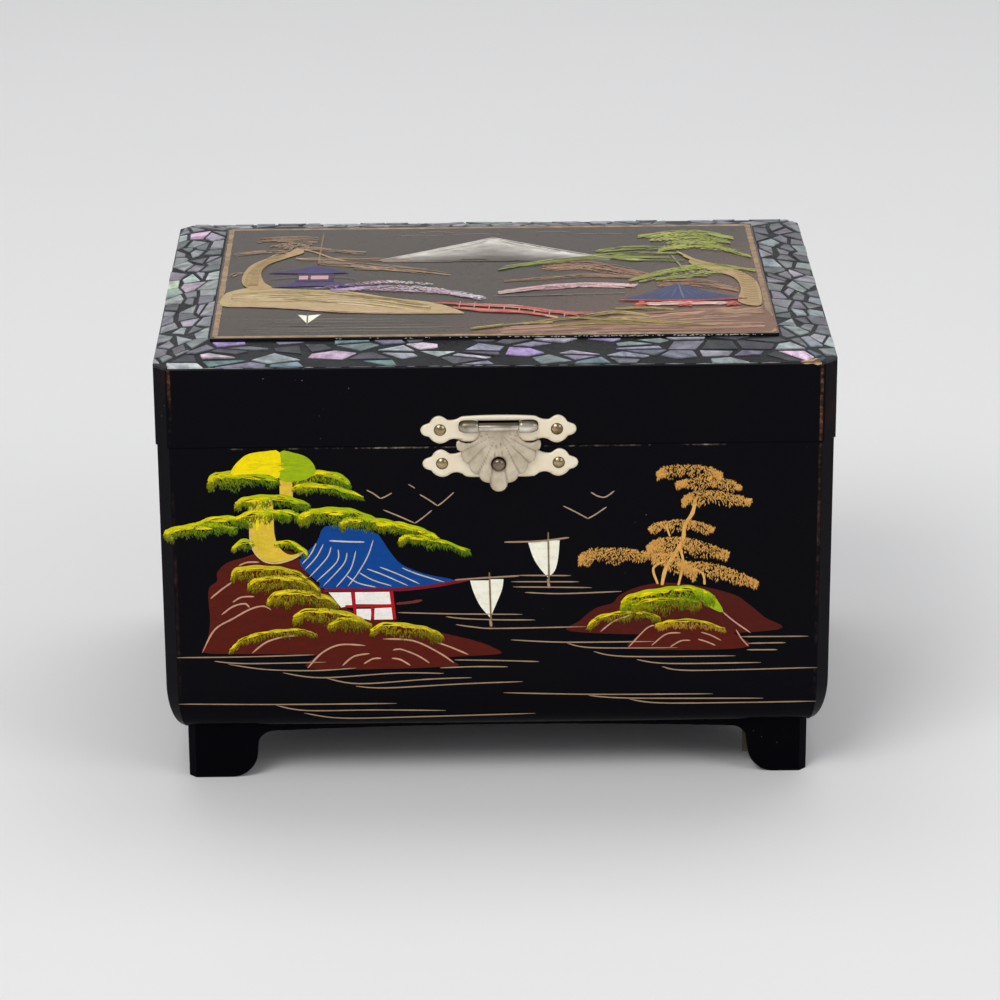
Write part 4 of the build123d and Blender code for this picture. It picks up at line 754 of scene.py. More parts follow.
def tufts(sketch, crown, depth, light, middle, dark, layer, body):
    """A pad of needles: bright lobes along a crown line, over a loose dark fringe of bristles."""
    path = smooth(crown, 8)
    length = path_length(path)
    turn = rng.uniform(0, FULL_TURN)

    def reach(t):
        lobes = 1 + 0.14 * math.sin(turn + 0.6 * length * t) + 0.1 * math.sin(2 * turn + 1.5 * length * t)
        return depth * lobes * (0.3 + 0.7 * hump(t))

    def shade(t):
        return blend(light, middle, min(1.0, 0.3 + t))

    low = sketch.base(layer)
    count = max(16, int(length))
    centre, widths, colours = [], [], []
    for i in range(count + 1):
        t = i / count
        u, v = at(path, t)
        width = reach(t) * body * min(1.0, 0.35 + 7 * t, 0.25 + 5 * (1 - t)) * rng.uniform(0.82, 1.12)
        centre.append((u, v - width / 2 + 0.16 * math.sin(turn + 1.1 * length * t)))
        widths.append(width)
        colours.append(vary(shade(t), 0.06))
    sketch.ribbon(centre, widths, colours, low, low + 0.1)
    for _ in range(int(length * 0.55)):
        t = rng.uniform(0.04, 0.9)
        size = rng.uniform(1.0, 2.4) / length
        row = rng.uniform(0.12, body)
        points = [at(path, t + k * size) for k in (-1, 0, 1)]
        points = [(u, v - reach(t) * row) for u, v in points]
        tone = blend(light, shade(t), rng.uniform(0, 1) * (0.3 + 0.7 * t))
        stroke_at(sketch, points, rng.uniform(0.45, 0.9), tone, low + 0.11)
    rows = ((0.66, 1.22, 1.0, 9.0), (0.5, 1.0, 0.75, 10.0), (body * 0.5, 0.85, 0.3, 7.0))
    for near, far, darkness, count in rows:
        for _ in range(int(length * count * depth / 4)):
            t = rng.random()
            u, v = at(path, t)
            drop = reach(t) * rng.uniform(near, far)
            tone = vary(blend(shade(t), dark, darkness * rng.uniform(0.6, 1.0)), 0.25)
            lean = math.radians(-90 + 50 * (t - 0.5) + rng.uniform(-26, 26))
            size = rng.uniform(0.8, 1.7)
            sketch.dab(u + rng.uniform(-0.3, 0.3), v - drop, size, rng.uniform(0.2, 0.36), lean, tone, low,
                       low + rng.uniform(0.12, 0.27))


def stroke_at(sketch, points, width, colour, low):
    """A short pointed brush line at a given height."""
    path = smooth(points, 3)
    n = len(path) - 1
    widths = [width * (0.25 + 0.75 * math.sin(math.pi * i / n)) for i in range(n + 1)]
    sketch.ribbon(path, widths, [vary(colour, 0.08)] * (n + 1), low, low + LINE_RISE)


def dotted_pad(sketch, crown, depth, colour, dark, layer):
    """A pad stippled in small touches, thinner and more ragged towards its lower side."""
    path = smooth(crown, 8)
    length = path_length(path)
    turn = rng.uniform(0, FULL_TURN)
    for _ in range(int(length * depth * 8.5)):
        t = rng.random()
        row = rng.uniform(-0.06, 1.12)
        if rng.random() < 0.6 * max(0.0, row) ** 1.8:
            continue
        u, v = at(path, t)
        swell = 0.35 + 0.65 * hump(t)
        swell *= 1 + 0.15 * math.sin(turn + 0.8 * length * t)
        low = sketch.base(layer)
        lean = math.radians(-90 + rng.uniform(-75, 75) * (1 - 0.6 * row))
        tone = vary(blend(colour, dark, 0.5 * rng.random() ** 2), 0.14)
        sketch.dab(u + rng.uniform(-0.4, 0.4), v - depth * swell * row, rng.uniform(0.7, 1.5),
                   rng.uniform(0.22, 0.38),
                   lean, tone, low, low + rng.uniform(0.08, 0.2))


def front_picture():
    paint = Sketch("front_picture", front_plane, "box", PAINT, "picture_lacquer")
    lines = Sketch("front_picture_lines", front_plane, "box", THIN_PAINT, "picture_lacquer")
    front_island(paint, lines)
    front_house(paint, lines)
    front_pine(paint)
    front_boats(paint, lines)
    front_right_island(paint, lines)
    front_water(lines)
    front_birds(lines)
    paint.build()
    lines.build()


def front_island(paint, lines):
    """Dark red hill with contour strokes and grass, on the left."""
    hill = [(-101, 50.2), (-99.4, 55), (-98.4, 62), (-98.6, 73), (-95.6, 76.4), (-95.4, 79.6), (-92, 83),
            (-86, 85), (-80, 87), (-72, 87.4), (-67.6, 85), (-64.6, 78.4), (-57.4, 71), (-50, 65),
            (-35, 61),
            (-19, 56.4), (-8, 53.4), (-2, 51), (1, 48.4), (-12, 47.6), (-40, 46.6), (-66, 48.8),
            (-90, 49.4)]
    fill(paint, hill, MOUND, 0)
    near = [(-65, 43.8), (-60.4, 49.4), (-54, 52.8), (-44, 54.6), (-32, 54.2), (-22, 50.6), (-15, 45.6),
            (-15.4, 44), (-38, 43.2)]
    fill(paint, near, vary(MOUND, 0.05), 1)
    contours = (
        [(-101.4, 50), (-97, 58.4), (-90.4, 62.6), (-84.4, 66), (-80, 67), (-77.4, 65.6)],
        [(-98, 70), (-94, 73.4), (-90.4, 76)],
        [(-94.4, 64), (-90.4, 67), (-86.4, 68), (-84.8, 66.6)],
        [(-90.4, 68.6), (-87.4, 70.4), (-83, 70.6)],
        [(-88, 82), (-85, 83.2), (-81, 83.2)],
        [(-84.4, 49.6), (-79.4, 53.6), (-73.4, 55.6), (-68.4, 56)],
        [(-65.4, 43.8), (-60.4, 49.4), (-54, 52.4), (-45.4, 52)],
        [(-53.4, 44.6), (-49.4, 48), (-44, 49)],
        [(-46, 45.2), (-43, 47), (-40, 47.2)],
        [(-39.4, 54.4), (-29, 53.6), (-20.4, 49.2), (-15, 45.2)],
        [(-36, 50.2), (-33, 50.4), (-27.4, 48), (-23.4, 45.2)],
        [(-36.4, 47.2), (-33.4, 46.6), (-30, 44.4)],
        [(-21, 53), (-16, 51), (-10, 48.2)],
    )
    for points in contours:
        stroke(lines, points, 0.6, CONTOUR, 3)
    for crown, depth in (
        ([(-92, 51), (-87, 55.6), (-78, 58), (-68.4, 58.6), (-62, 56.6)], 2.8),
        ([(-43.6, 58), (-38.6, 60.6), (-29, 59.8), (-22.4, 58), (-18.6, 55.4)], 4.6),
        ([(-58, 60), (-54, 62.4), (-48, 62.4), (-43, 60)], 4.2),
        ([(-70, 63), (-66, 65.8), (-58, 66), (-50, 64.2), (-45.4, 61.6)], 5.0),
        ([(-78.6, 69.6), (-75, 72.6), (-67, 73), (-59, 71.2), (-54.4, 67.6)], 5.4),
        ([(-85, 75.4), (-82, 77.6), (-72.4, 78.4), (-65, 76.8), (-60.4, 73)], 5.2),
        ([(-90.6, 79), (-88, 81.6), (-78.4, 82), (-69.4, 80.4), (-64.4, 77.2)], 5.2),
    ):
        tufts(paint, crown, depth, YELLOW, OLIVE, DEEP_OLIVE, 4, 0.34)


def front_house(paint, lines):
    """Blue hipped roof with a red eave, over white panels in a red frame."""
    for panel in (
        [(-57.6, 71.8), (-50, 71.8), (-49.6, 67), (-53.4, 66.2)],
        [(-48.6, 71.8), (-36.6, 71.8), (-36.2, 67.2), (-48.4, 67.4)],
        [(-48.2, 65.6), (-43, 65.6), (-43.4, 61.4), (-48.2, 62.6)],
        [(-42, 65.8), (-36.2, 66), (-35.8, 61.6), (-42.2, 61.6)],
    ):
        fill(paint, panel, PANEL_WHITE, 2, rounded=False)
    for a, b, width in (
        ((-59, 72.8), (-35, 72.8), 1.5), ((-36.2, 72), (-35.2, 61.6), 1.3),
        ((-49.4, 72), (-48.6, 63.6), 1.1),
        ((-52, 66.6), (-35.4, 66.7), 1.1), ((-42.8, 66.4), (-42.6, 61.8), 1.0),
    ):
        stroke(paint, [a, b], width, HOUSE_RED, 3, 1.0, 2)
    stroke(lines, [(-34.6, 67.4), (-30, 67.8), (-25.6, 68.6)], 1.0, (0.16, 0.03, 0.03), 3)
    roof = [(-58.4, 96), (-50, 95.6), (-41.6, 93.6), (-39.4, 91.6), (-36.4, 86.6), (-32.4, 81.8),
            (-24.4, 78.2),
            (-14, 75.6), (-24, 73.6), (-36, 73), (-58.6, 73.2), (-60.6, 75.4), (-64.2, 78.6), (-67.2, 83.8),
            (-61.4, 90)]
    fill(paint, roof, ROOF, 3, 3)
    stroke(paint, [(-59, 72.8), (-44, 72.6), (-31, 72.8), (-19.6, 74.2), (-8.4, 76.4)], 1.3, EAVE, 5, 0.4)
    left_slope = (
        [(-61.4, 90), (-63.4, 86), (-66.4, 82.4)], [(-59, 89.6), (-61.4, 85), (-65.4, 80.4)],
        [(-56.4, 88.6), (-58, 84.4), (-64, 77.6)], [(-54, 87.6), (-54.6, 83), (-61.6, 76)],
        [(-51, 86.4), (-52.4, 82), (-59.4, 74.2)], [(-48, 87), (-50, 80.2), (-55, 73.8)],
        [(-42, 91), (-44, 85), (-47.6, 78.6), (-51, 74)],
    )
    right_slope = (
        [(-51.4, 78), (-47.4, 75.2), (-41.4, 73.6)], [(-47, 79), (-42.4, 76.2), (-36, 74)],
        [(-44.4, 80.4), (-39, 78.2), (-30.4, 74)], [(-40, 81), (-34, 78.4), (-26.4, 74.6)],
        [(-32.4, 80.6), (-27, 78.2), (-18, 75.2)],
    )
    for points in left_slope + right_slope:
        stroke(lines, points, 0.42, ROOF_LINE, 5)
    stroke(lines, [(-57, 90.8), (-51, 90.4), (-45, 90.2)], 0.6, ROOF_LINE, 5)


def front_pine(paint):
    """Pine with a broad yellow trunk and flat pads of needles."""
    behind = (
        ([(-113, 93.4), (-109.4, 96.4), (-98.4, 98), (-88, 96)], 4.4),
        ([(-102, 98), (-95.4, 100.2), (-88, 100), (-83, 98.4)], 4.4),
        ([(-75, 102), (-71.4, 102.4), (-66.4, 100.6)], 4.0),
        ([(-75.6, 90.6), (-71, 91.2), (-66.4, 88.8), (-64.4, 86.6)], 3.2),
        ([(-33.4, 91), (-30, 93), (-19.4, 91), (-9, 86.8)], 3.6),
        ([(-42, 97), (-33, 97.4), (-24, 94.4), (-19.4, 91.4)], 4.2),
        ([(-53.4, 97.4), (-50, 99.4), (-39.4, 98.8), (-27.4, 95)], 4.4),
        ([(-67.4, 99.6), (-63, 102.4), (-51, 102.8), (-41, 99)], 5.4),
        ([(-69, 114), (-61, 116.4), (-53, 115), (-49.4, 111.6)], 5.0),
    )
    for crown, depth in behind:
        tufts(paint, crown, depth, YELLOW, LIME, DEEP_LEAF, 3, 0.45)
    trunk = [(-83.4, 106), (-76.4, 106), (-75.6, 94), (-74.4, 89.4), (-72.4, 86.8), (-69.6, 85.8),
             (-65.4, 87.2),
             (-69.6, 84.6), (-75.4, 83.2), (-80, 84.4), (-83.2, 88.6), (-84, 95)]
    fill(paint, [(-73.4, 113), (-69, 113), (-69, 106.4), (-73.4, 106.4)], TRUNK_TAN, 3, rounded=False)
    fill(paint, trunk, TRUNK_TAN, 4, 4)
    stroke(paint, [(-84, 96), (-83.4, 89), (-80.2, 84.2), (-75.4, 82.8), (-69.4, 84.4), (-65, 87.4)], 0.6,
           TRUNK_EDGE, 6)
    for _ in range(46):
        u, v = rng.uniform(-82.4, -77.4), rng.uniform(89, 105.6)
        bend = rng.uniform(-0.3, 0.6)
        tone = blend(TRUNK_TAN, YELLOW if v > 97 else LEMON, rng.uniform(0.2, 1) * min(1, (v - 86) / 12))
        stroke(paint, [(u, v), (u + bend, v - 1.4), (u + bend, v - rng.uniform(2, 4))], 0.6, tone, 5)
    front = (
        ([(-90, 89), (-86.4, 91.8), (-82.8, 91.2)], 3.6),
        ([(-88.4, 100), (-82.4, 102.4), (-75, 102.4), (-70, 100.4)], 4.0),
        ([(-88.6, 105), (-84, 107.4), (-72, 107.6), (-63.4, 104.4)], 4.4),
        ([(-69, 110.4), (-64.4, 112), (-53, 110.4), (-45, 106.8)], 3.4),
        ([(-97.6, 113.4), (-94.4, 116), (-85, 116.4), (-73.4, 114)], 5.6),
    )
    for crown, depth in front:
        tufts(paint, crown, depth, YELLOW, LIME, DEEP_LEAF, 6, 0.5)
    yellow_side = [(-89.4, 115), (-89, 117.6), (-86.4, 120.6), (-83.4, 122.6), (-78, 123.4), (-73, 123),
                   (-73.4, 114), (-77, 115), (-84, 115.4)]
    green_side = [(-73, 123), (-68.4, 122.8), (-64, 121.2), (-61.4, 118), (-61.6, 115), (-66, 112.8),
                  (-73.4, 113.4)]
    fill(paint, yellow_side, YELLOW, 9, 3)
    fill(paint, green_side, LIME, 8, 3)
    for _ in range(40):
        u = rng.uniform(-84, -66)
        v = rng.uniform(116, 120)
        tone = YELLOW if u < -73 else LIME
        stroke(paint, [(u - 2, v - 0.2), (u, v + 0.2), (u + 2, v - 0.1)], 0.5, vary(tone, 0.12), 9, 0.3, 2)


def sail_boat(paint, lines, left, right, mast, yard):
    """Two panels of sail that curve in to a point on a mast, under a long yard."""
    foot = left[-1]
    for edge in (left, right):
        side = smooth(edge, 4)
        fill(paint, side + [(foot[0] + 0.05, edge[0][1])], SAIL, 1, rounded=False)
    stroke(lines, mast, 0.6, SPAR, 4, 0.7)
    stroke(lines, yard, 0.6, WATER, 5, 0.6)
    stroke(lines, [(foot[0], foot[1] - 0.4), (mast[1][0], mast[1][1])], 0.9, WATER, 4, 0.6)


def front_boats(paint, lines):
    sail_boat(paint, lines, [(10.6, 89.6), (12.3, 84), (14.6, 79.9), (17.4, 76.4)],
              [(21.4, 90), (20.9, 83.6), (19.7, 78.8), (17.4, 76.4)],
              [(17.5, 93), (17.8, 72.6)], [(2.6, 89.6), (14, 89.8), (24.6, 91)])
    sail_boat(paint, lines, [(-9.2, 75.6), (-8.1, 71.4), (-5.8, 66.2), (-2.4, 61.8)],
              [(2.2, 76), (1.7, 72.2), (-0.2, 67.2), (-2.4, 61.8)],
              [(-2.6, 78.6), (-2.1, 58.6)], [(-14.4, 75.9), (-6, 76.5), (7.6, 77.2)])


def front_right_island(paint, lines):
    """Dark hill with grass and a tree of gold dabs, on the right."""
    back = [(25.4, 56.4), (28.4, 60.4), (33.6, 64.8), (39.6, 66.8), (42, 69.6), (49, 72.8), (58.4, 74),
            (71.4, 72.2),
            (81.4, 69.2), (86.4, 65.6), (91.6, 61), (96.4, 56.2), (60, 54.8)]
    fill(paint, back, MOUND_DARK, 0)
    near = [(45.4, 50.2), (50, 55.4), (55.4, 58.6), (67, 60), (75, 59), (81.4, 55), (86.4, 50), (66, 49)]
    fill(paint, near, MOUND, 1)
    for points in (
        [(35.4, 56.2), (40, 60), (46, 62.4)], [(45, 50.2), (51, 57), (54, 58.4)],
        [(53, 50.8), (58, 55), (63, 55.4)], [(59.4, 50.2), (63, 52.4), (66.4, 52.6)],
        [(70, 55.6), (73.4, 54.4), (77, 52.4)], [(69, 53), (72, 52), (75, 50.6)],
        [(77.4, 63), (81.4, 59.4), (87, 55.2)], [(82, 56.4), (84, 53), (86.4, 50.2)],
    ):
        stroke(lines, points, 0.5, CONTOUR, 3)
    tufts(paint, [(31, 58.6), (34.4, 62), (42.4, 63.8), (50.4, 63.6), (56, 61.4)], 3.4, YELLOW, OLIVE,
          DEEP_OLIVE, 4, 0.3)
    tufts(paint, [(54.4, 58.8), (59, 60.2), (68.4, 60.4), (78.4, 57)], 3.0, YELLOW, OLIVE, ORANGE_DARK, 4,
          0.3)
    fill(paint, [(66, 72), (70, 71.6), (74, 69.4), (77.6, 63), (72, 65.4)], LIME, 5, 3)
    tufts(paint, [(46, 66), (52, 68.4), (62, 68.6), (70, 67)], 5.0, YELLOW, OLIVE, DEEP_OLIVE, 4, 0.2)
    tufts(paint, [(42.4, 67), (46, 70.2), (57, 72.4), (67, 72.8), (74.6, 69)], 6.6, YELLOW, LIME, LEAF, 5,
          0.3)
    limbs = (
        ([(67.6, 105), (66.6, 99.6), (64, 95), (63.4, 90), (60.6, 84.6), (57.6, 79), (56.4, 73.2)], 1.3),
        ([(62, 88), (63.6, 82), (63, 77.6), (62, 73)], 0.9), ([(57.6, 82), (53.4, 79.4), (55, 73.6)], 0.8),
        ([(64, 80), (70, 77.6), (71, 73.2)], 0.8), ([(59, 91), (57.6, 95)], 0.7),
        ([(62, 84), (54, 84.6)], 0.8),
    )
    for points, width in limbs:
        stroke(lines, points, width, ORANGE, 3, 0.6)
    for crown, depth in (
        ([(54.4, 114), (58.4, 116.4), (70.4, 116.2), (76.4, 113.6)], 4.0),
        ([(61, 110.6), (66.4, 111.8), (77, 111.6), (83, 109)], 3.6),
        ([(63, 104.4), (67.4, 107), (77.4, 106.8), (86.4, 104)], 4.4),
        ([(52, 94.6), (57, 96.4), (66.4, 96.6), (74, 93.8)], 3.6),
        ([(51.4, 87.4), (55.4, 90), (66.4, 89.8), (79, 85)], 5.6),
        ([(28, 83.4), (32, 86.4), (42.4, 86.6), (52, 85.2)], 4.8),
        ([(53, 84), (58, 85), (64, 82), (68, 78)], 5.6),
        ([(62, 81.4), (71.4, 81), (81.4, 78), (89, 74)], 4.6),
    ):
        dotted_pad(paint, crown, depth, ORANGE, ORANGE_DARK, 5)


def front_water(lines):
    for points in (
        [(-110.2, 48.3), (-87, 48.3), (-63, 48.8)], [(-97.4, 46.8), (-86.6, 45.8), (-59, 46)],
        [(-92.6, 45.6), (-79.6, 43.5), (-62.8, 42.9), (-48.6, 43.7)],
        [(-74, 42.2), (-60.6, 40.2), (-35, 41.6), (-18.6, 41.3)],
        [(-59, 40), (-47.6, 37.8), (-23.6, 39.2), (-9, 39.6)],
        [(-49, 36.9), (-38.4, 36.1), (-12, 37.3), (8.6, 37.9)],
        [(-110.2, 30.9), (-74, 30.3), (-35, 30.2)], [(-76.6, 30), (-66.3, 27.9), (-43, 27.8), (-18, 27.3)],
        [(-67, 26.9), (-54, 24.8), (-27.6, 25), (13, 25.8)], [(-14.8, 46.3), (0, 45.9), (14.3, 45.3)],
        [(-19.8, 43.4), (-8, 43.7), (3.5, 43.5)], [(2, 33.8), (33, 32.8), (74.4, 32.5)],
        [(31.4, 32.4), (46, 31.2), (91.8, 30.6)], [(45.4, 30.8), (56, 29.2), (83.6, 29), (110.2, 29.2)],
        [(24, 52), (33, 50.2), (62, 49.9)], [(33, 48.8), (44.4, 46.8), (82, 46.6)],
        [(48, 45.6), (59, 44), (90.8, 44)],
        [(56.6, 42.9), (67.2, 41.3), (110.2, 41.9)], [(86, 51.2), (99.2, 51.3)],
        [(85.8, 48.8), (96.4, 48.7)],
        [(7, 77.3), (25.2, 77)], [(4.8, 75), (28, 74.7)], [(5.5, 73.1), (32.4, 72.5)],
        [(9.5, 71), (22.4, 70.4), (42.6, 71)],
        [(-34, 64.1), (-16, 63.4), (8.6, 62.9)], [(-17.6, 62.4), (-11.8, 61.6), (0, 61), (13, 60.8)],
        [(-14.2, 59.4), (-8, 58.4), (0, 57.8), (30.4, 58.1)], [(4.6, 53.5), (23, 52.4), (54, 52.3)],
        [(83.6, 53.7), (107, 53.6)],
    ):
        stroke(lines, points, 0.45, WATER, 2, 0.3)


def front_birds(lines):
    for left, dip, right in (
        ((-44, 109), (-39.4, 105.9), (-35.4, 107.9)), ((-26, 107.2), (-20, 103), (-14.4, 107.9)),
        ((-38.5, 101.8), (-27.8, 96.8), (-21.9, 101.5)),
        ((22.6, 102.5), (31, 97.8), (37.4, 102)),
    ):
        wing = (left[0] * 0.5 + dip[0] * 0.5, left[1] * 0.42 + dip[1] * 0.58 + 0.5)
        lift = (dip[0] * 0.6 + right[0] * 0.4, dip[1] * 0.6 + right[1] * 0.4 - 0.2)
        stroke(lines, [left, wing, dip], 0.46, BIRD, 2, 0.3)
        stroke(lines, [dip, lift, right], 0.46, BIRD, 3, 0.3)
    stroke(lines, [(32, 107.4), (34.4, 105.9), (37, 105.6), (40, 107.8)], 0.5, BIRD, 2, 0.3)
    stroke(lines, [(-29.8, 110.9), (-28.8, 110.3), (-27.6, 109.5)], 0.35, BIRD, 2, 0.3)


# Picture on the lid: u is X and v is Y, in millimetres


TOP_TAN = (0.52, 0.39, 0.2)
TOP_TRUNK = (0.46, 0.32, 0.15)
TOP_BROWN = (0.38, 0.25, 0.16)
TOP_GREEN = (0.26, 0.29, 0.1)
TOP_LIME = (0.42, 0.43, 0.13)
TOP_PURPLE = (0.06, 0.04, 0.14)
TOP_PINK = (0.6, 0.36, 0.4)
TOP_WHITE = (0.52, 0.48, 0.54)
TOP_RED = (0.48, 0.075, 0.055)
TOP_BLUE = (0.05, 0.062, 0.14)
TOP_GREY = (0.24, 0.235, 0.23)
TOP_WATER = (0.19, 0.165, 0.14)
TOP_GROUND = (0.32, 0.17, 0.11)
GOLD_LINE = (0.34, 0.23, 0.13)
TOP_HALF_U, TOP_HALF_V = 93.6, 62.0


def streaks(sketch, spine, thick, colours, count, layer, width=0.6, share=0.35, wander=0.25):
    """Long thin brush strokes that follow a curve, bunched into a pointed cloud about it."""
    path = smooth(spine, 8)
    for _ in range(count):
        middle = rng.random()
        reach = share * rng.uniform(0.4, 1.0)
        side = rng.uniform(-1, 1) * thick * (0.35 + 0.65 * math.sin(math.pi * middle))
        points = []
        for k in range(4):
            u, v = at(path, middle + reach * (k / 3 - 0.5))
            points.append((
                max(-TOP_HALF_U, min(TOP_HALF_U, u)),
                max(-TOP_HALF_V, min(TOP_HALF_V, v + side + rng.uniform(-wander, wander))),
            ))
        if math.dist(points[0], points[-1]) > 1.5:
            stroke(sketch, points, width * rng.uniform(0.5, 1.25), vary(rng.choice(colours), 0.25), layer,
                   0.2, 3)


def stipple(sketch, spine, thick, colours, count, layer, size=1.0):
    """Small touches of a brush scattered along a curve, from its first colour to its last."""
    path = smooth(spine, 8)
    for _ in range(count):
        t = rng.random()
        u, v = at(path, t)
        v += rng.uniform(-1, 1) * thick * (0.35 + 0.65 * math.sin(math.pi * t))
        place = min(max(t + rng.uniform(-0.3, 0.3), 0.0), 0.999) * len(colours)
        low = sketch.base(layer)
        sketch.dab(u + rng.uniform(-1, 1), v, size * rng.uniform(0.8, 2.2), size * rng.uniform(0.3, 0.5),
                   rng.uniform(-0.4, 0.4), vary(colours[int(place)], 0.18), low, low + 0.1)


def top_picture():
    paint = Sketch("lid_picture", top_plane, "lid", TOP_PAINT, "picture_lacquer")
    top_ground(paint)
    top_mountain(paint)
    top_left_side(paint)
    top_middle(paint)
    top_right_side(paint)
    paint.build()


def top_ground(paint):
    for _ in range(16):
        u, v = rng.uniform(-91, -60), rng.uniform(-60, -41)
        reach = rng.uniform(15, 60)
        stroke(paint, [(u, v), (u + reach / 2, v + 0.3), (u + reach, v)], 0.4, TOP_WATER, 0, 0.3, 3)
    for u, v, reach in ((-26, 57, 13), (-34, 53, 16), (-14, 54, 18), (30, 53, 20), (16, 56, 14)):
        stroke(paint, [(u, v), (u + reach / 2, v + 1), (u + reach, v - 0.4)], 0.4, (0.3, 0.26, 0.22), 0,
               0.3, 3)
    ground = [(-8, -61), (4, -56), (20, -52), (38, -47), (60, -42), (90, -37), (94, -38), (94, -61.8),
              (60, -62), (20, -62)]
    fill(paint, ground, (0.22, 0.12, 0.08), 0, 4)
    tones = [TOP_GROUND, (0.38, 0.22, 0.15), (0.21, 0.11, 0.075), (0.4, 0.26, 0.16)]
    streaks(paint, [(2, -60), (40, -56), (92, -55)], 6, tones, 110, 1, 1.0, 0.4)
    streaks(paint, [(40, -48), (70, -43), (93, -40)], 6, tones, 110, 1, 1.0, 0.4)


def top_mountain(paint):
    """Wide snow-topped cone that fades out towards its foot."""
    crest = smooth([(-43, 21), (-27.6, 31.8), (-10.4, 42.8), (-1.6, 48), (3, 48.4), (14, 40.6), (31, 29.6),
                    (44, 22.6)], 6)

    def height(u):
        for a, b in zip(crest, crest[1:]):
            if a[0] <= u <= b[0]:
                return a[1] + (b[1] - a[1]) * (u - a[0]) / max(b[0] - a[0], 1e-6)
        return 0.0

    rows = [(-44, 44, 27 + 0.88 * k) for k in range(25)]
    for _ in range(150):
        middle, reach = rng.uniform(-40, 40), rng.uniform(3, 16)
        rows.append((middle - reach, middle + reach, 27.6 - 7 * rng.random() ** 1.4))
    for start, end, v in rows:
        path = [(u, v) for u in (start + 1.1 * i for i in range(int((end - start) / 1.1) + 1))]
        path = [(u, w) for u, w in path if height(u) > w]
        if len(path) < 3:
            continue
        colours = []
        for u, w in path:
            glow = math.exp(-max(0.0, height(u) - w - 2) / 13) * min(1.0, (w - 18) / 11)
            glow *= 1 + 0.12 * math.sin(0.5 * u + 1.7 * math.sin(0.9 * w))
            colours.append(vary(blend((0.068, 0.052, 0.038), (0.78, 0.74, 0.68), glow), 0.05))
        low = paint.base(1)
        widths = [1.1 if 0 < i < len(path) - 1 else 0.2 for i in range(len(path))]
        paint.ribbon(path, widths, colours, low, low + 0.02)
    for side in (-1, 1):
        stroke(paint, [(1, 49), (1 + side * 9, 42.8), (1 + side * 24, 33), (1 + side * 41, 22.4)], 0.5,
               (0.72, 0.69, 0.64), 8)
        stroke(paint, [(1 + side * 2, 45), (1 + side * 10, 38.8), (1 + side * 24, 30.4)], 0.35,
               (0.2, 0.18, 0.16), 8)
    for u0, v0, u1 in ((-5, 37.6, -1), (3, 38.6, 6.4), (-14, 33.4, -8), (10, 35.4, 15)):
        stroke(paint, [(u0, v0), ((u0 + u1) / 2, v0 + 0.8), (u1, v0)], 0.35, (0.4, 0.38, 0.35), 8)


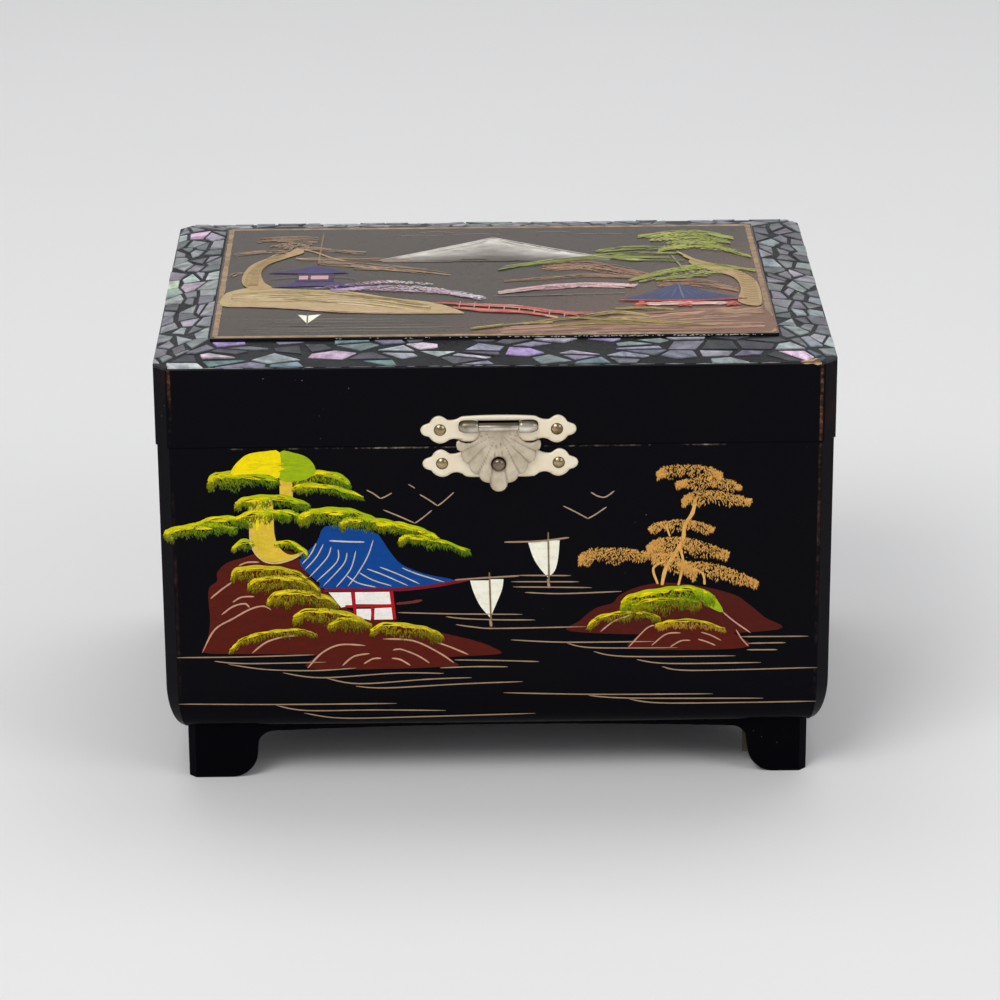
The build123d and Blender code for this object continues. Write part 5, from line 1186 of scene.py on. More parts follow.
def top_left_side(paint):
    """Shore with a leaning pine, a small pagoda and blossom."""
    shore = [(-94, -29), (-94, -16.4), (-90, -11), (-83.4, -8.6), (-67.4, -11), (-51, -13.4), (-36, -21.4),
             (-20, -28),
             (-10.6, -38.6), (-14, -40), (-36, -39.4), (-48.6, -38), (-52, -35.4), (-71.6, -32.4),
             (-81, -30.6)]
    fill(paint, shore, TOP_TAN, 1, 4)
    tones = [TOP_TAN, (0.38, 0.27, 0.09), (0.6, 0.48, 0.25), (0.66, 0.5, 0.32), (0.22, 0.16, 0.06)]
    streaks(paint, [(-91, -20), (-70, -19), (-48, -23), (-22, -34)], 7.4, tones, 240, 5, 0.5, 0.3)
    streaks(paint, [(-91, -28.4), (-70, -32), (-50, -37), (-14, -39)], 1.2,
            [(0.62, 0.42, 0.3), (0.5, 0.36, 0.2)], 60, 6, 0.5, 0.3)
    trunk = [(-84, -11), (-88, -4.4), (-88.4, 6), (-86, 18), (-80, 27), (-74, 32), (-70, 38.4), (-67.6, 33),
             (-74, 26),
             (-80, 18.4), (-82, 9), (-80.6, -2), (-77.6, -9)]
    fill(paint, trunk, TOP_TRUNK, 3, 4)
    for k in range(24):
        v = -7 + 1.6 * k
        lean = 0.0085 * max(v, 0.0) ** 2.05
        stroke(paint, [(-87.4 + lean, v), (-85 + lean, v + 1), (-82.4 + lean, v + 0.4)], 0.35,
               (0.26, 0.17, 0.07), 8, 0.3, 3)
        stroke(paint, [(-87 + lean, v + 0.9), (-85.4 + lean, v + 1.5)], 0.4, (0.66, 0.5, 0.26), 8, 0.3, 3)
    stroke(paint, [(-70, 38), (-64, 34), (-58, 27), (-52, 22)], 1.0, TOP_TRUNK, 3, 0.4)
    brown = [TOP_BROWN, (0.44, 0.3, 0.18), (0.3, 0.19, 0.13), (0.5, 0.36, 0.24), (0.24, 0.17, 0.12)]
    for spine, thick, count in (
        ([(-85, 47.4), (-76, 50), (-62.4, 48.6)], 3.2, 34), ([(-93, 31), (-82, 34.4), (-72, 33)], 1.6, 16),
        ([(-69, 39), (-58, 36.4), (-45.4, 32)], 2.0, 22), ([(-70, 26), (-50, 24.4), (-29, 23)], 2.0, 30),
        ([(-62, 21), (-40, 15), (-15, 5)], 2.6, 34), ([(-49, 13.6), (-36, 12), (-24, 9)], 1.6, 16),
        ([(-93.4, 6), (-90, 8.4), (-87, 8)], 1.4, 8), ([(-80, 42), (-72, 43), (-66, 41)], 1.6, 14),
    ):
        streaks(paint, spine, thick * 1.35, brown, int(count * 1.1), 4, 0.36, 0.5, 0.6)
    for _ in range(14):
        u, v = rng.uniform(-78, -66), rng.uniform(33, 45)
        stroke(paint, [(u, v), (u + 1.6, v + 1.4), (u + 3, v), (u + 1.8, v - 0.8)], 0.35,
               vary(TOP_BROWN, 0.3), 5, 0.4, 3)
    stroke(paint, [(-61, 56), (-62, 19)], 0.7, (0.24, 0.15, 0.06), 5, 0.6)
    fill(paint, [(-77.4, -8.4), (-69.6, -2.4), (-55, -2.6), (-46.6, -8.8), (-62, -7)], TOP_PURPLE, 5,
         rounded=False)
    fill(paint, [(-69.4, -2), (-69, 7), (-56, 7), (-56.2, -2.2)], (0.05, 0.03, 0.07), 5, rounded=False)
    fill(paint, [(-80, 8.6), (-68, 13), (-62.6, 17), (-57.4, 13), (-50.6, 8.2), (-62, 7)], TOP_PURPLE, 6,
         rounded=False)
    for u0, u1 in ((-68.4, -65.2), (-64.2, -58)):
        fill(paint, [(u0, 0.4), (u1, 0.4), (u1, 4.8), (u0, 4.8)], TOP_PINK, 7, rounded=False)
    stroke(paint, [(-79, 1), (-70, 3), (-54, 3), (-48, 0)], 0.5, (0.16, 0.12, 0.22), 6)
    bloom = [TOP_WHITE, TOP_PINK, (0.4, 0.3, 0.44), (0.55, 0.46, 0.56)]
    violet, white = (0.32, 0.22, 0.42), (0.72, 0.7, 0.74)
    stipple(paint, [(-62, -10), (-46, -5.6), (-37, -3.4), (-22, -6.4)], 1.8, [violet, TOP_PINK, white], 220,
            9, 0.9)
    stipple(paint, [(-56, -12.4), (-38, -10.6), (-20, -14), (-3, -23)], 3.4,
            [violet, TOP_PINK, TOP_WHITE, white], 460, 9, 1.0)
    streaks(paint, [(-56, -12.6), (-38, -10.6), (-20, -14), (-3, -24.6)], 3.0, bloom, 50, 8, 0.4, 0.25, 0.5)
    for half in (((-67.4, -39.6), (-64.4, -40.4), (-64.2, -49)),
                 ((-63.8, -40.4), (-59.6, -39.4), (-63.7, -48.8))):
        fill(paint, half, SAIL, 2, rounded=False)
    stroke(paint, [(-64, -38), (-64, -52)], 0.5, TOP_WATER, 3)
    stroke(paint, [(-70, -51.6), (-58, -51.6)], 0.4, TOP_WATER, 3)


def top_middle(paint):
    """Curved bridge with a rail, between the two shores."""
    rail = [(0.5, 0.1, 0.08), TOP_RED, (0.62, 0.2, 0.16), (0.7, 0.42, 0.36)]
    streaks(paint, [(-20, -27.6), (-4.4, -31), (8, -33.4), (20.4, -39), (29, -44)], 1.5, rail, 60, 7, 0.5,
            0.45, 0.3)
    streaks(paint, [(-14, -33.4), (-4.4, -36.4), (10.4, -39.6), (22, -46)], 1.6, rail, 60, 7, 0.5, 0.45,
            0.3)
    streaks(paint, [(14, -38), (26, -40.4), (38, -42)], 1.6, [(0.36, 0.1, 0.07), (0.5, 0.16, 0.12)], 26, 7,
            0.5, 0.5, 0.4)
    for k in range(8):
        t = k / 7
        u, v = -12 + 36 * t, -29.4 - 13 * t ** 1.3
        stroke(paint, [(u, v - 5), (u + 0.6, v + 2.2)], 0.5, (0.6, 0.26, 0.22), 11, 0.5, 2)
    streaks(paint, [(2, -17), (17, -12), (34, -9), (50, -11)], 3.0,
            [TOP_PINK, (0.8, 0.56, 0.54), (0.55, 0.36, 0.34)], 90, 5, 0.5, 0.3, 0.4)
    stipple(paint, [(6, -16), (17, -12), (34, -8.6), (50, -10)], 2.8,
            [(0.5, 0.34, 0.36), TOP_PINK, (0.85, 0.66, 0.62)], 170, 6)
    streaks(paint, [(0, -20.6), (24, -19.6), (46, -18.6)], 0.6, [TOP_GREY, (0.3, 0.24, 0.22)], 12, 4, 0.4,
            0.4)
    reeds = [(0.36, 0.28, 0.08), (0.46, 0.38, 0.14), (0.24, 0.19, 0.06)]
    for spine in (
        [(23.4, -49.6), (40.4, -41), (53.4, -45)], [(32.4, -49.6), (44, -48.4), (56, -51)],
        [(42, -37), (52, -36.4), (62, -38.6)], [(-8, -57), (8, -52), (20, -51)],
        [(12, -51.6), (28, -46.8), (44, -50)],
        [(44, -49), (60, -53), (76, -57)], [(20, -54.6), (36, -52), (52, -54)],
    ):
        streaks(paint, spine, 1.5, reeds, 26, 8, 0.36, 0.6, 0.4)


def top_right_side(paint):
    """Tea house under a leaning pine."""
    brown = [TOP_BROWN, (0.36, 0.18, 0.12), (0.4, 0.25, 0.15), (0.2, 0.12, 0.08)]
    streaks(paint, [(18, 12), (32.4, 15), (44, 8.6), (58, -1)], 6.0, brown, 90, 3, 0.36, 0.4, 0.8)
    stipple(paint, [(20, 12), (32.4, 14), (44, 8), (54, 0)], 5.0, [(0.36, 0.22, 0.12), (0.42, 0.24, 0.16)],
            160, 4, 0.8)
    streaks(paint, [(4.4, -3), (21.4, 0.6), (34.4, 2.6), (52, -1)], 2.2, brown, 46, 3, 0.36, 0.4, 0.5)
    streaks(paint, [(58, -9), (72, -8), (86, -16)], 5.0, brown, 60, 3, 0.4, 0.5, 0.6)
    trunk = [(71.6, 20), (75, 15.6), (80.4, 12.4), (88.4, 5), (93.2, -8), (93.4, -28), (91.4, -35),
             (85, -30), (87, -15.6),
             (85.4, -2), (77.4, 7.4), (71, 15)]
    fill(paint, trunk, TOP_TRUNK, 4, 4)
    for k in range(20):
        v = -32 + 2 * k
        lean = 0.0 if v < -6 else 0.028 * (v + 6) ** 1.7
        stroke(paint, [(87.4 - lean, v), (90 - lean, v + 1.2), (92.6 - lean, v + 0.4)], 0.4,
               (0.27, 0.18, 0.07), 9, 0.3, 3)
    green = [TOP_GREEN, TOP_LIME, (0.22, 0.27, 0.04), (0.13, 0.16, 0.04)]
    lime = [TOP_LIME, (0.36, 0.4, 0.06), (0.24, 0.28, 0.05)]
    streaks(paint, [(67, 30), (72, 20), (80, 12)], 1.8, [TOP_LIME, TOP_TRUNK, (0.3, 0.3, 0.08)], 34, 9,
            0.42, 0.5, 0.4)
    for spine, thick, count, tones in (
        ([(54, 48.6), (64, 52), (76.4, 53), (88.4, 46)], 2.6, 60, lime),
        ([(62.4, 46), (76, 48), (87, 40)], 2.4, 44, lime),
        ([(64, 40), (74, 42.4), (84, 38)], 2.2, 40, lime),
        ([(60.4, 31), (71, 37.4), (80.4, 36), (93.4, 23)], 2.6, 60, lime),
        ([(38, 31), (49, 34.4), (64, 34)], 1.8, 34, green),
        ([(36, 27), (52, 28.6), (68, 28)], 1.4, 24, green),
        ([(2.4, 10.4), (17.4, 18), (39.4, 24), (64, 22.6)], 1.8, 60, green),
        ([(44, 22), (56, 20), (70, 19)], 1.4, 20, green),
        ([(48.4, -4), (65, 7.6), (79, 12), (94, 5)], 2.2, 60, lime),
        ([(52, -6), (64, -1), (76, 0)], 1.4, 26, green),
        ([(58, -4), (73, 2.4), (84.4, 4.4)], 1.8, 36, green),
    ):
        streaks(paint, spine, thick * 1.3, tones, count, 6, 0.42, 0.4, 0.5)
    stipple(paint, [(58, 46), (70, 49), (86, 44)], 6.0, [TOP_LIME, (0.5, 0.52, 0.14), TOP_GREEN], 260, 7,
            1.1)
    stipple(paint, [(62, 34), (74, 36.6), (88, 30)], 4.0, [TOP_LIME, (0.46, 0.48, 0.12), TOP_GREEN], 170, 7,
            1.1)
    stipple(paint, [(56, 2), (70, 6), (84, 6)], 4.0, [TOP_GREEN, TOP_LIME, (0.4, 0.4, 0.12)], 160, 7, 1.0)
    stroke(paint, [(65, 25), (67.6, 12), (68.4, 6)], 0.9, (0.24, 0.24, 0.14), 5, 0.6)
    roof = [(45, -26), (55, -18.4), (61, -12), (65, -9.2), (70, -13), (77, -19.6), (86.4, -26), (65, -27.4)]
    fill(paint, roof, TOP_BLUE, 8, rounded=False)
    for k in range(9):
        u = 50 + 4 * k
        stroke(paint, [(65.4 + (u - 66) * 0.2, -13), (u, -25)], 0.35, (0.12, 0.14, 0.24), 9, 0.4, 2)
    stroke(paint, [(65.4, -9), (66.4, -26)], 0.5, (0.2, 0.19, 0.2), 9, 0.6)
    streaks(paint, [(52, -31.6), (66, -31.4), (82, -31.6)], 2.0, [(0.8, 0.56, 0.52), (0.6, 0.3, 0.26)], 60,
            7, 0.6, 0.5)
    streaks(paint, [(44, -27), (66, -28.4), (88, -26.6)], 0.8, [TOP_RED, (0.36, 0.07, 0.06)], 30, 9, 0.6,
            0.5)
    for u in (51.4, 66.4, 83):
        streaks(paint, [(u - 2.4, -33), (u, -31.6), (u + 2.4, -33)], 2.4, [TOP_RED, (0.6, 0.16, 0.12)], 16,
                9, 0.8, 0.9)


def panel_border():
    """Worn gold line close to the edge of the raised panel."""
    lines = Sketch("lid_picture_border", top_plane, "lid", TOP_PAINT, "picture_lacquer")
    half_u, half_v = panel_high.x / MM - BORDER_INSET, panel_high.y / MM - BORDER_INSET
    corners = [(-half_u, -half_v), (half_u, -half_v), (half_u, half_v), (-half_u, half_v)]
    for a, b in edges_of(corners):
        count = 90
        path = [blend(a, b, i / count) for i in range(count + 1)]
        widths = [BORDER_LINE * rng.uniform(0.8, 1.12) for _ in path]
        tones = [vary(GOLD_LINE, 0.3) for _ in path]
        low = lines.base(0)
        lines.ribbon(path, widths, tones, low, low + LINE_RISE)
    lines.build()


# Shell chips on the sloping border


def strip_plane(side):
    """The sloping strip at one side: u runs along the edge and v up the slope from the outer edge."""
    normals = {"front": (0, -1), "back": (0, 1), "left": (-1, 0), "right": (1, 0)}
    nx, ny = normals[side]
    reach = (mosaic_high.x if nx else mosaic_high.y) / MM
    slope = math.hypot(STRIP_RUN, STRIP_RISE)

    def plane(u, v, height):
        out = reach - v * STRIP_RUN / slope + height * STRIP_RISE / slope
        z = STRIP_EDGE + v * STRIP_RISE / slope + height * STRIP_RUN / slope
        if nx:
            return Vector((nx * out, u, z)) * MM
        return Vector((u, ny * out, z)) * MM

    half = (mosaic_high.y if nx else mosaic_high.x) / MM
    return plane, half, slope


def random_chips(half, width, pitch, stretch):
    """Cells round scattered seeds, cut to the mitred strip."""
    seeds = []
    u = -half
    while u < half:
        v = pitch * 0.4
        while v < width:
            seeds.append((u + rng.uniform(-0.5, 0.5) * pitch * stretch,
                          v + rng.uniform(-0.45, 0.45) * pitch))
            v += pitch
        u += pitch * stretch
    cells = []
    for i, (su, sv) in enumerate(seeds):
        cell = [(-half, -0.5), (half, -0.5), (half - STRIP_RUN, width), (-half + STRIP_RUN, width)]
        for end in (-1, 1):
            cell = clip(cell, end, -STRIP_RUN / width, half - CORNER_BEVEL / MM)
        for j, (tu, tv) in enumerate(seeds):
            if i == j or abs(tu - su) > 4 * pitch * stretch or abs(tv - sv) > 4 * pitch:
                continue
            a, b = (tu - su) / stretch ** 2, tv - sv
            cell = clip(cell, a, b, a * (su + tu) / 2 + b * (sv + tv) / 2)
            if len(cell) < 3:
                break
        if len(cell) >= 3 and abs(signed_area(cell)) > 1.0:
            cells.append(cell)
    return cells


def shrink(outline, gap):
    """Moves every side of a convex outline inwards by the gap."""
    outline = anticlockwise(outline)
    kept = outline
    for p, q in edges_of(outline):
        du, dv = q[0] - p[0], q[1] - p[1]
        size = math.hypot(du, dv)
        if size < 1e-6:
            continue
        a, b = dv / size, -du / size
        kept = clip(kept, a, b, a * p[0] + b * p[1] - gap)
        if len(kept) < 3:
            return []
    return kept


def pinched(outline):
    """Draws a piece together a little in one direction, so that the gaps round it differ."""
    if len(outline) < 3:
        return outline
    cu, cv = centre_of(outline)
    su, sv = rng.uniform(0.9, 1.04), rng.uniform(0.8, 1.02)
    return [(cu + (u - cu) * su, cv + (v - cv) * sv) for u, v in outline]


def splinter(outline, corners):
    """Leaves out the corners that matter least, so that the piece looks snapped, not round."""
    outline = list(outline)
    while len(outline) > corners:
        losses = []
        for i in range(len(outline)):
            rest = outline[:i] + outline[i + 1:]
            losses.append((abs(signed_area(outline)) - abs(signed_area(rest)), i))
        outline.pop(min(losses)[1])
    return outline


LEFT_SHELL = ((0.2, 0.2, 0.205), (0.27, 0.27, 0.28), (0.13, 0.13, 0.135), (0.34, 0.34, 0.345),
              (0.22, 0.215, 0.225))
RIGHT_SHELL = ((0.14, 0.145, 0.15), (0.2, 0.2, 0.205), (0.1, 0.1, 0.104), (0.28, 0.285, 0.29),
               (0.16, 0.16, 0.165))
FRONT_SHELL = ((0.2, 0.19, 0.25), (0.34, 0.34, 0.37), (0.07, 0.07, 0.078), (0.48, 0.47, 0.49),
               (0.24, 0.22, 0.3),
               (0.045, 0.046, 0.052), (0.2, 0.22, 0.23), (0.1, 0.1, 0.11))
LEFT_ACCENT = ((0.5, 0.58, 0.42), (0.62, 0.44, 0.54), (0.36, 0.44, 0.4), (0.5, 0.49, 0.52))
RIGHT_ACCENT = ((0.34, 0.36, 0.37), (0.26, 0.3, 0.3), (0.4, 0.4, 0.41))
FRONT_ACCENT = ((0.66, 0.5, 0.6), (0.15, 0.24, 0.245), (0.74, 0.72, 0.73), (0.34, 0.27, 0.46),
                (0.42, 0.46, 0.44))


def shell_strip(side, pitch, stretch, gap, keep, palette, accents, accent_share):
    plane, half, width = strip_plane(side)
    chips = Sketch("shell_chips_" + side, plane, "lid", NACRE, "shell_chips")
    for cell in random_chips(half - 0.4, width, pitch, stretch):
        if rng.random() > keep:
            continue
        cell = splinter(shrink(cell, gap * rng.uniform(0.5, 1.7)), rng.choice((3, 4, 4, 4, 5)))
        cell = pinched(cell)
        if len(cell) < 3 or abs(signed_area(cell)) < 1.2:
            continue
        colour = rng.choice(accents if rng.random() < accent_share else palette)
        a = rng.uniform(0, math.pi)
        grain = (math.cos(a), math.sin(a), 0.3)
        rise = rng.uniform(0.2, 0.5)
        tilt = [rng.uniform(0.75, 1.25) for _ in range(3)]
        shade = tuple(c * t for c, t in zip(vary(colour, 0.25), (1, 0.5 + tilt[1] / 2, 1)))
        chips.slab(cell, shade, -0.15, rise, 0.2, grain)
    chips.build()


def upright_plane(y):
    """The plane of a face that looks to the front at y, in metres: u is X and v is Z."""
    def plane(u, v, height):
        return Vector((u * MM, y - height * MM, v * MM))

    return plane


def scuffs():
    """Pale specks along the panel's front edge, a pale broken line along the lid's front edge, and bare
    wood where the lacquer is chipped at the lid's right front corner.
    """
    specks = Sketch("panel_edge_pale_specks", upright_plane(panel_low.y), "lid", THIN_PAINT, "picture_lacquer")
    z1 = panel_high.z / MM
    for _ in range(150):
        u = rng.uniform(8, 92) if rng.random() < 0.85 else rng.uniform(-60, 8)
        tone = vary((0.6, 0.58, 0.56), 0.3)
        specks.dab(u, z1 - rng.uniform(0.25, 0.55), rng.uniform(0.4, 1.5), 0.3, rng.uniform(-0.2, 0.2),
                   tone, 0.0, 0.05)
    specks.build()
    corner = Sketch("lid_corner_chip", strip_plane("front")[0], "lid", CHIPPED, "plain_wood")
    right = EDGE_X / MM
    corner.slab([(right - 7.6, 0.1), (right - 1, 0.15), (right + 0.2, 0.5), (right + 0.6, 1.9),
                 (right - 2, 2.6),
                 (right - 3.4, 1.7), (right - 5.2, 1.4)], WHITE, -0.1, 0.14, 0.2)
    corner.build()

    lid_front = upright_plane(LID_LOW.y)
    edge = Sketch("lid_edge_line", lid_front, "lid", THIN_PAINT, "picture_lacquer")
    u = -right + 2
    while u < right - 10:
        reach = rng.uniform(2, 9)
        tone = vary((0.34, 0.32, 0.33), 0.4)
        z = STRIP_EDGE - 0.2 + rng.uniform(-0.06, 0.06)
        edge.ribbon([(u, z), (u + reach / 2, z + 0.04), (u + reach, z)],
                    [0.1, rng.uniform(0.16, 0.34), 0.1],
                    [tone] * 3, -0.01, 0.03)
        u += reach + rng.uniform(0.3, 5)
    edge.build()
    rim = Sketch("lid_edge_chip", lid_front, "lid", CHIPPED, "plain_wood")
    z0 = STRIP_EDGE - 0.1
    rim.slab([(right - 7.4, z0 - 0.1), (right - 6, z0 - 0.7), (right - 3.4, z0 - 0.5),
              (right - 1.6, z0 - 1.1),
              (right - 0.3, z0 - 0.8), (right - 0.2, z0 - 0.1)], WHITE, -0.02, 0.06, 0.1)
    rim.build()


# Latch: stamped plates, a hinge with two knuckles and a shell-shaped hasp


def middle(node):
    """Middle of a CAD node's box, in millimetres."""
    return [(low + high) / 2 / MM for low, high in zip(*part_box(node))]


HINGE_PLATE_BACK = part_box("latch_hinge_plate")[1].y
CATCH_PLATE_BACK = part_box("latch_catch_plate")[1].y
LATCH_X = middle("latch_hinge_plate")[0]
HINGE_PLATE_Z = middle("latch_upper_nails")[2]
CATCH_X, _, CATCH_Z = middle("latch_catch_plate")
LATCH_AXIS = middle("latch_pin")[1:]
STUD_Z = middle("latch_stud")[2]
# Sizes in millimetres; a grid is the spacing of the points on a stamped face
NAIL_X = 19.7
# Radii of the dark rings round the nail heads and of the painted shade round the stud
NAIL_RING, STUD_SHADE_RING = 2.08, 2.85
PLATE_THICK = 0.8
PLATE_GRID, HASP_GRID = 1.1, 0.5
RIM, RIM_DROP = 0.5, 0.22
HASP_HOLE = 2.55
FAN_TOP = 1.5
SLOT_SPARE, SLOT_BELOW, SLOT_ABOVE = 0.3, 1.3, 2.0
EAR_OVERLAP = 0.1
KNUCKLE_HALF = 3.15
KNUCKLE_DEPTH = 1.5
KNUCKLE_HEIGHT = 2.05
BARREL_HALF = 6.7
BARREL_RADIUS = 1.45


def mirrored(half):
    """A whole outline from its right half, given from top middle to bottom middle."""
    left = [(-u, v) for u, v in reversed(half) if u > 0.01]
    return half + left


def circle(radius, count, cu=0.0, cv=0.0):
    return [
        (cu + radius * math.cos(2 * math.pi * i / count), cv + radius * math.sin(2 * math.pi * i / count))
        for i in range(count)
    ]


def edge_distance(u, v, loops):
    """Shortest distance from a point to any side of the loops."""
    best = 1e9
    for loop in loops:
        for p, q in edges_of(loop):
            du, dv = q[0] - p[0], q[1] - p[1]
            size = du * du + dv * dv
            t = 0.0 if size == 0 else max(0.0, min(1.0, ((u - p[0]) * du + (v - p[1]) * dv) / size))
            best = min(best, math.hypot(u - p[0] - t * du, v - p[1] - t * dv))
    return best


def inside(u, v, loop):
    odd = False
    for p, q in edges_of(loop):
        if (p[1] > v) != (q[1] > v) and u < (q[0] - p[0]) * (v - p[1]) / (q[1] - p[1]) + p[0]:
            odd = not odd
    return odd


def stamped(name, outline, holes, place, back_y, relief, tone, grid, body, material):
    """A stamped sheet: its outline and holes, rounded at the rim, with relief on its face.

    place is the (x, z) of the outline's own origin; relief and tone give a point's height and colour."""
    loops = [outline] + holes
    coords, edges = [], []
    for loop in loops:
        start = len(coords)
        coords += [Vector(p) for p in loop]
        edges += [(start + i, start + (i + 1) % len(loop)) for i in range(len(loop))]
    us, vs = [p[0] for p in outline], [p[1] for p in outline]
    v = min(vs)
    while v < max(vs):
        u = min(us)
        while u < max(us):
            if inside(u, v, outline) and not any(inside(u, v, hole) for hole in holes):
                if edge_distance(u, v, loops) > 0.22:
                    coords.append(Vector((u, v)))
            u += grid
        v += grid
    flat, _, faces, *_ = delaunay_2d_cdt(coords, edges, [], 1, 1e-6)
    centres = [sum((flat[i] for i in face), Vector((0, 0))) / len(face) for face in faces]
    faces = [
        face for face, c in zip(faces, centres)
        if inside(c.x, c.y, outline) and not any(inside(c.x, c.y, hole) for hole in holes)
    ]
    points, shades = [], []
    for p in flat:
        rim = max(0.0, 1 - edge_distance(p.x, p.y, loops) / RIM) ** 2 * RIM_DROP
        y = back_y - PLATE_THICK - relief(p.x, p.y) + rim
        points.append(((place[0] + p.x) * MM, y * MM, (place[1] + p.y) * MM))
        shades.append(tone(p.x, p.y))
    count = len(points)
    points += [((place[0] + p.x) * MM, back_y * MM, (place[1] + p.y) * MM) for p in flat]
    sides = {}
    for face in faces:
        for a, b in edges_of(face):
            key = (min(a, b), max(a, b))
            sides[key] = None if key in sides else (a, b)
    solid = [tuple(face) for face in faces] + [tuple(count + i for i in reversed(face)) for face in faces]
    solid += [(b, a, count + a, count + b) for a, b in filter(None, sides.values())]
    mesh = new_mesh(name, points, solid)
    set_paint(mesh, shades * 2)
    piece = place_mesh(mesh, name, body, material)
    for face in piece.data.polygons:
        face.use_smooth = abs(face.normal.y) > 0.5
    return piece


def plate_outline(low_waist):
    """Right half of a plate: straight body, waist, lobe round the nail and a small round tip."""
    top = [(0, 5.0), (6, 4.9), (10.4, 4.7), (12.4, 4.5), (13.6, 3.9), (15, 3.4), (16.8, 3.3), (17.6, 3.7),
           (18.6, 4.4),
           (20, 4.85), (21.5, 4.4), (22.6, 3.4), (23.2, 2.4), (24.4, 1.9), (25.6, 1.3), (26.25, 0.2)]
    bottom = [(25.9, -1.2), (24.8, -2.1), (23.4, -2.5), (22.7, -3.4), (21.5, -4.3), (19.8, -4.9),
              (18, -4.5),
              (16.6, -3.6), (14.8, -3.2), (13, -3.7)]
    bottom += [(11.6, -4.3), (8, -4.4)] if low_waist else [(11.4, -4.8), (8, -5.0)]
    return top + bottom + [(6.8, -3.7 if low_waist else -5.0), (0, -3.4 if low_waist else -5.0)]


def tube(rings):
    """Points and faces of a closed tube through rings of as many points each."""
    count = len(rings[0])
    points = [p for ring in rings for p in ring]
    faces = [tuple(range(count - 1, -1, -1)), tuple(range(len(points) - count, len(points)))]
    for r in range(len(rings) - 1):
        for i in range(count):
            a, b = r * count + i, r * count + (i + 1) % count
            faces.append((a, b, b + count, a + count))
    return points, faces


def knuckle(centre, side):
    """Half-round knuckle with a rounded outer end, pressed out of the plate."""
    cx, cy, cz = centre
    rings, count = [], 20
    for s in (-1.0, -0.97, -0.6, 0.0, 0.35, 0.6, 0.78, 0.9, 0.97, 1.0):
        if s < -0.95:
            share = 0.88 if s == -1.0 else 1.0
        else:
            share = math.sqrt(max(0.0, 1 - max(0.0, (s - 0.2) / 0.8) ** 2.4))
        x = cx + side * s * KNUCKLE_HALF
        ring = []
        for i in range(count):
            a = 2 * math.pi * i / count
            y = cy + max(KNUCKLE_DEPTH * share * math.cos(a),
                         -KNUCKLE_DEPTH) * (1 if math.cos(a) < 0 else 0.72)
            ring.append((x * MM, y * MM, (cz + KNUCKLE_HEIGHT * share * math.sin(a)) * MM))
        rings.append(ring)
    return tube(rings)


def joined_mesh(name, parts, body, material):
    """One object from several closed lists of points and faces."""
    points, faces = [], []
    for part_points, part_faces in parts:
        faces += [tuple(len(points) + i for i in face) for face in part_faces]
        points += part_points
    piece = place_mesh(new_mesh(name, points, faces), name, body, material)
    for face in piece.data.polygons:
        face.use_smooth = True
    return piece


def barrel():
    """Rolled barrel of the hasp: the sheet's end shows as a lip along it."""
    count, rings = 28, []
    for x, share in ((-BARREL_HALF, 0.9), (-BARREL_HALF + 0.2, 1), (BARREL_HALF - 0.2, 1),
                     (BARREL_HALF, 0.9)):
        ring = []
        for i in range(count):
            t = i / count
            a = math.radians(75) + 2 * math.pi * t
            r = BARREL_RADIUS * share * (1 - 0.9 * max(0.0, t - 0.9))
            ring.append(((LATCH_X + x) * MM, (LATCH_AXIS[0] - r * math.cos(a)) * MM,
                         (LATCH_AXIS[1] + r * math.sin(a)) * MM))
        rings.append(ring)
    return tube(rings)


HASP_HALF = [
    (0, 0.4), (6.4, 0.4), (6.4, -2.4), (6.8, -3.8), (7.8, -5.0), (9.4, -5.8), (11, -5.9), (12.4, -5.5),
    (13.4, -4.7),
    (14.1, -5.2), (14.3, -6.4), (13.9, -7.8), (12.6, -8.8), (12.7, -10.2), (12.1, -11.8), (10.8, -12.9),
    (9.9, -13.2),
    (9.8, -14.6), (9.1, -15.9), (8, -16.7), (6.6, -17.0), (6.4, -18.1), (5.6, -19.1), (4.5, -19.7),
    (3.1, -20.1),
    (2.8, -21.2), (2.1, -22.3), (1.1, -22.9), (0, -23.1),
]
HASP_GROOVES = (-90, -73, -57, -40, -23.5, -8.5, 8.5, 23.5, 40, 57, 73, 90)


def hasp_fan(u, v):
    """Where a point lies in the shell's fan: its share across one rib, and its reach from the neck."""
    reach = math.hypot(u, v + FAN_TOP)
    angle = math.degrees(math.atan2(u, -(v + FAN_TOP))) * (1 - 0.07 * reach / 20)
    for a, b in zip(HASP_GROOVES, HASP_GROOVES[1:]):
        if a <= angle <= b:
            return (angle - a) / (b - a), reach
    return 0.5, reach


def hasp_relief(u, v):
    share, reach = hasp_fan(u, v)
    rib = math.sin(math.pi * share) ** 0.6
    hole_v = STUD_Z - LATCH_AXIS[1]
    away = math.hypot(u, v - hole_v)
    return 0.42 * rib * min(1.0, max(0.0, (reach - 2.5) / 6)) * min(1.0, max(0.0, (away - 2.6) / 2.2)) - 0.1


def hasp_tone(u, v):
    share, reach = hasp_fan(u, v)
    line = max(0.0, 1 - min(share, 1 - share) / 0.11) * min(1.0, max(0.0, (reach - 2) / 2))
    return blend((1.0, 1.0, 1.0), (0.34, 0.3, 0.26), line * 0.8)


def no_relief(u, v):
    return 0.0


def even_tone(u, v):
    return WHITE


def boxed(value):
    """Pushes a cosine or a sine outwards, which turns an ellipse into a rounded box."""
    return math.copysign(abs(value) ** 0.6, value)


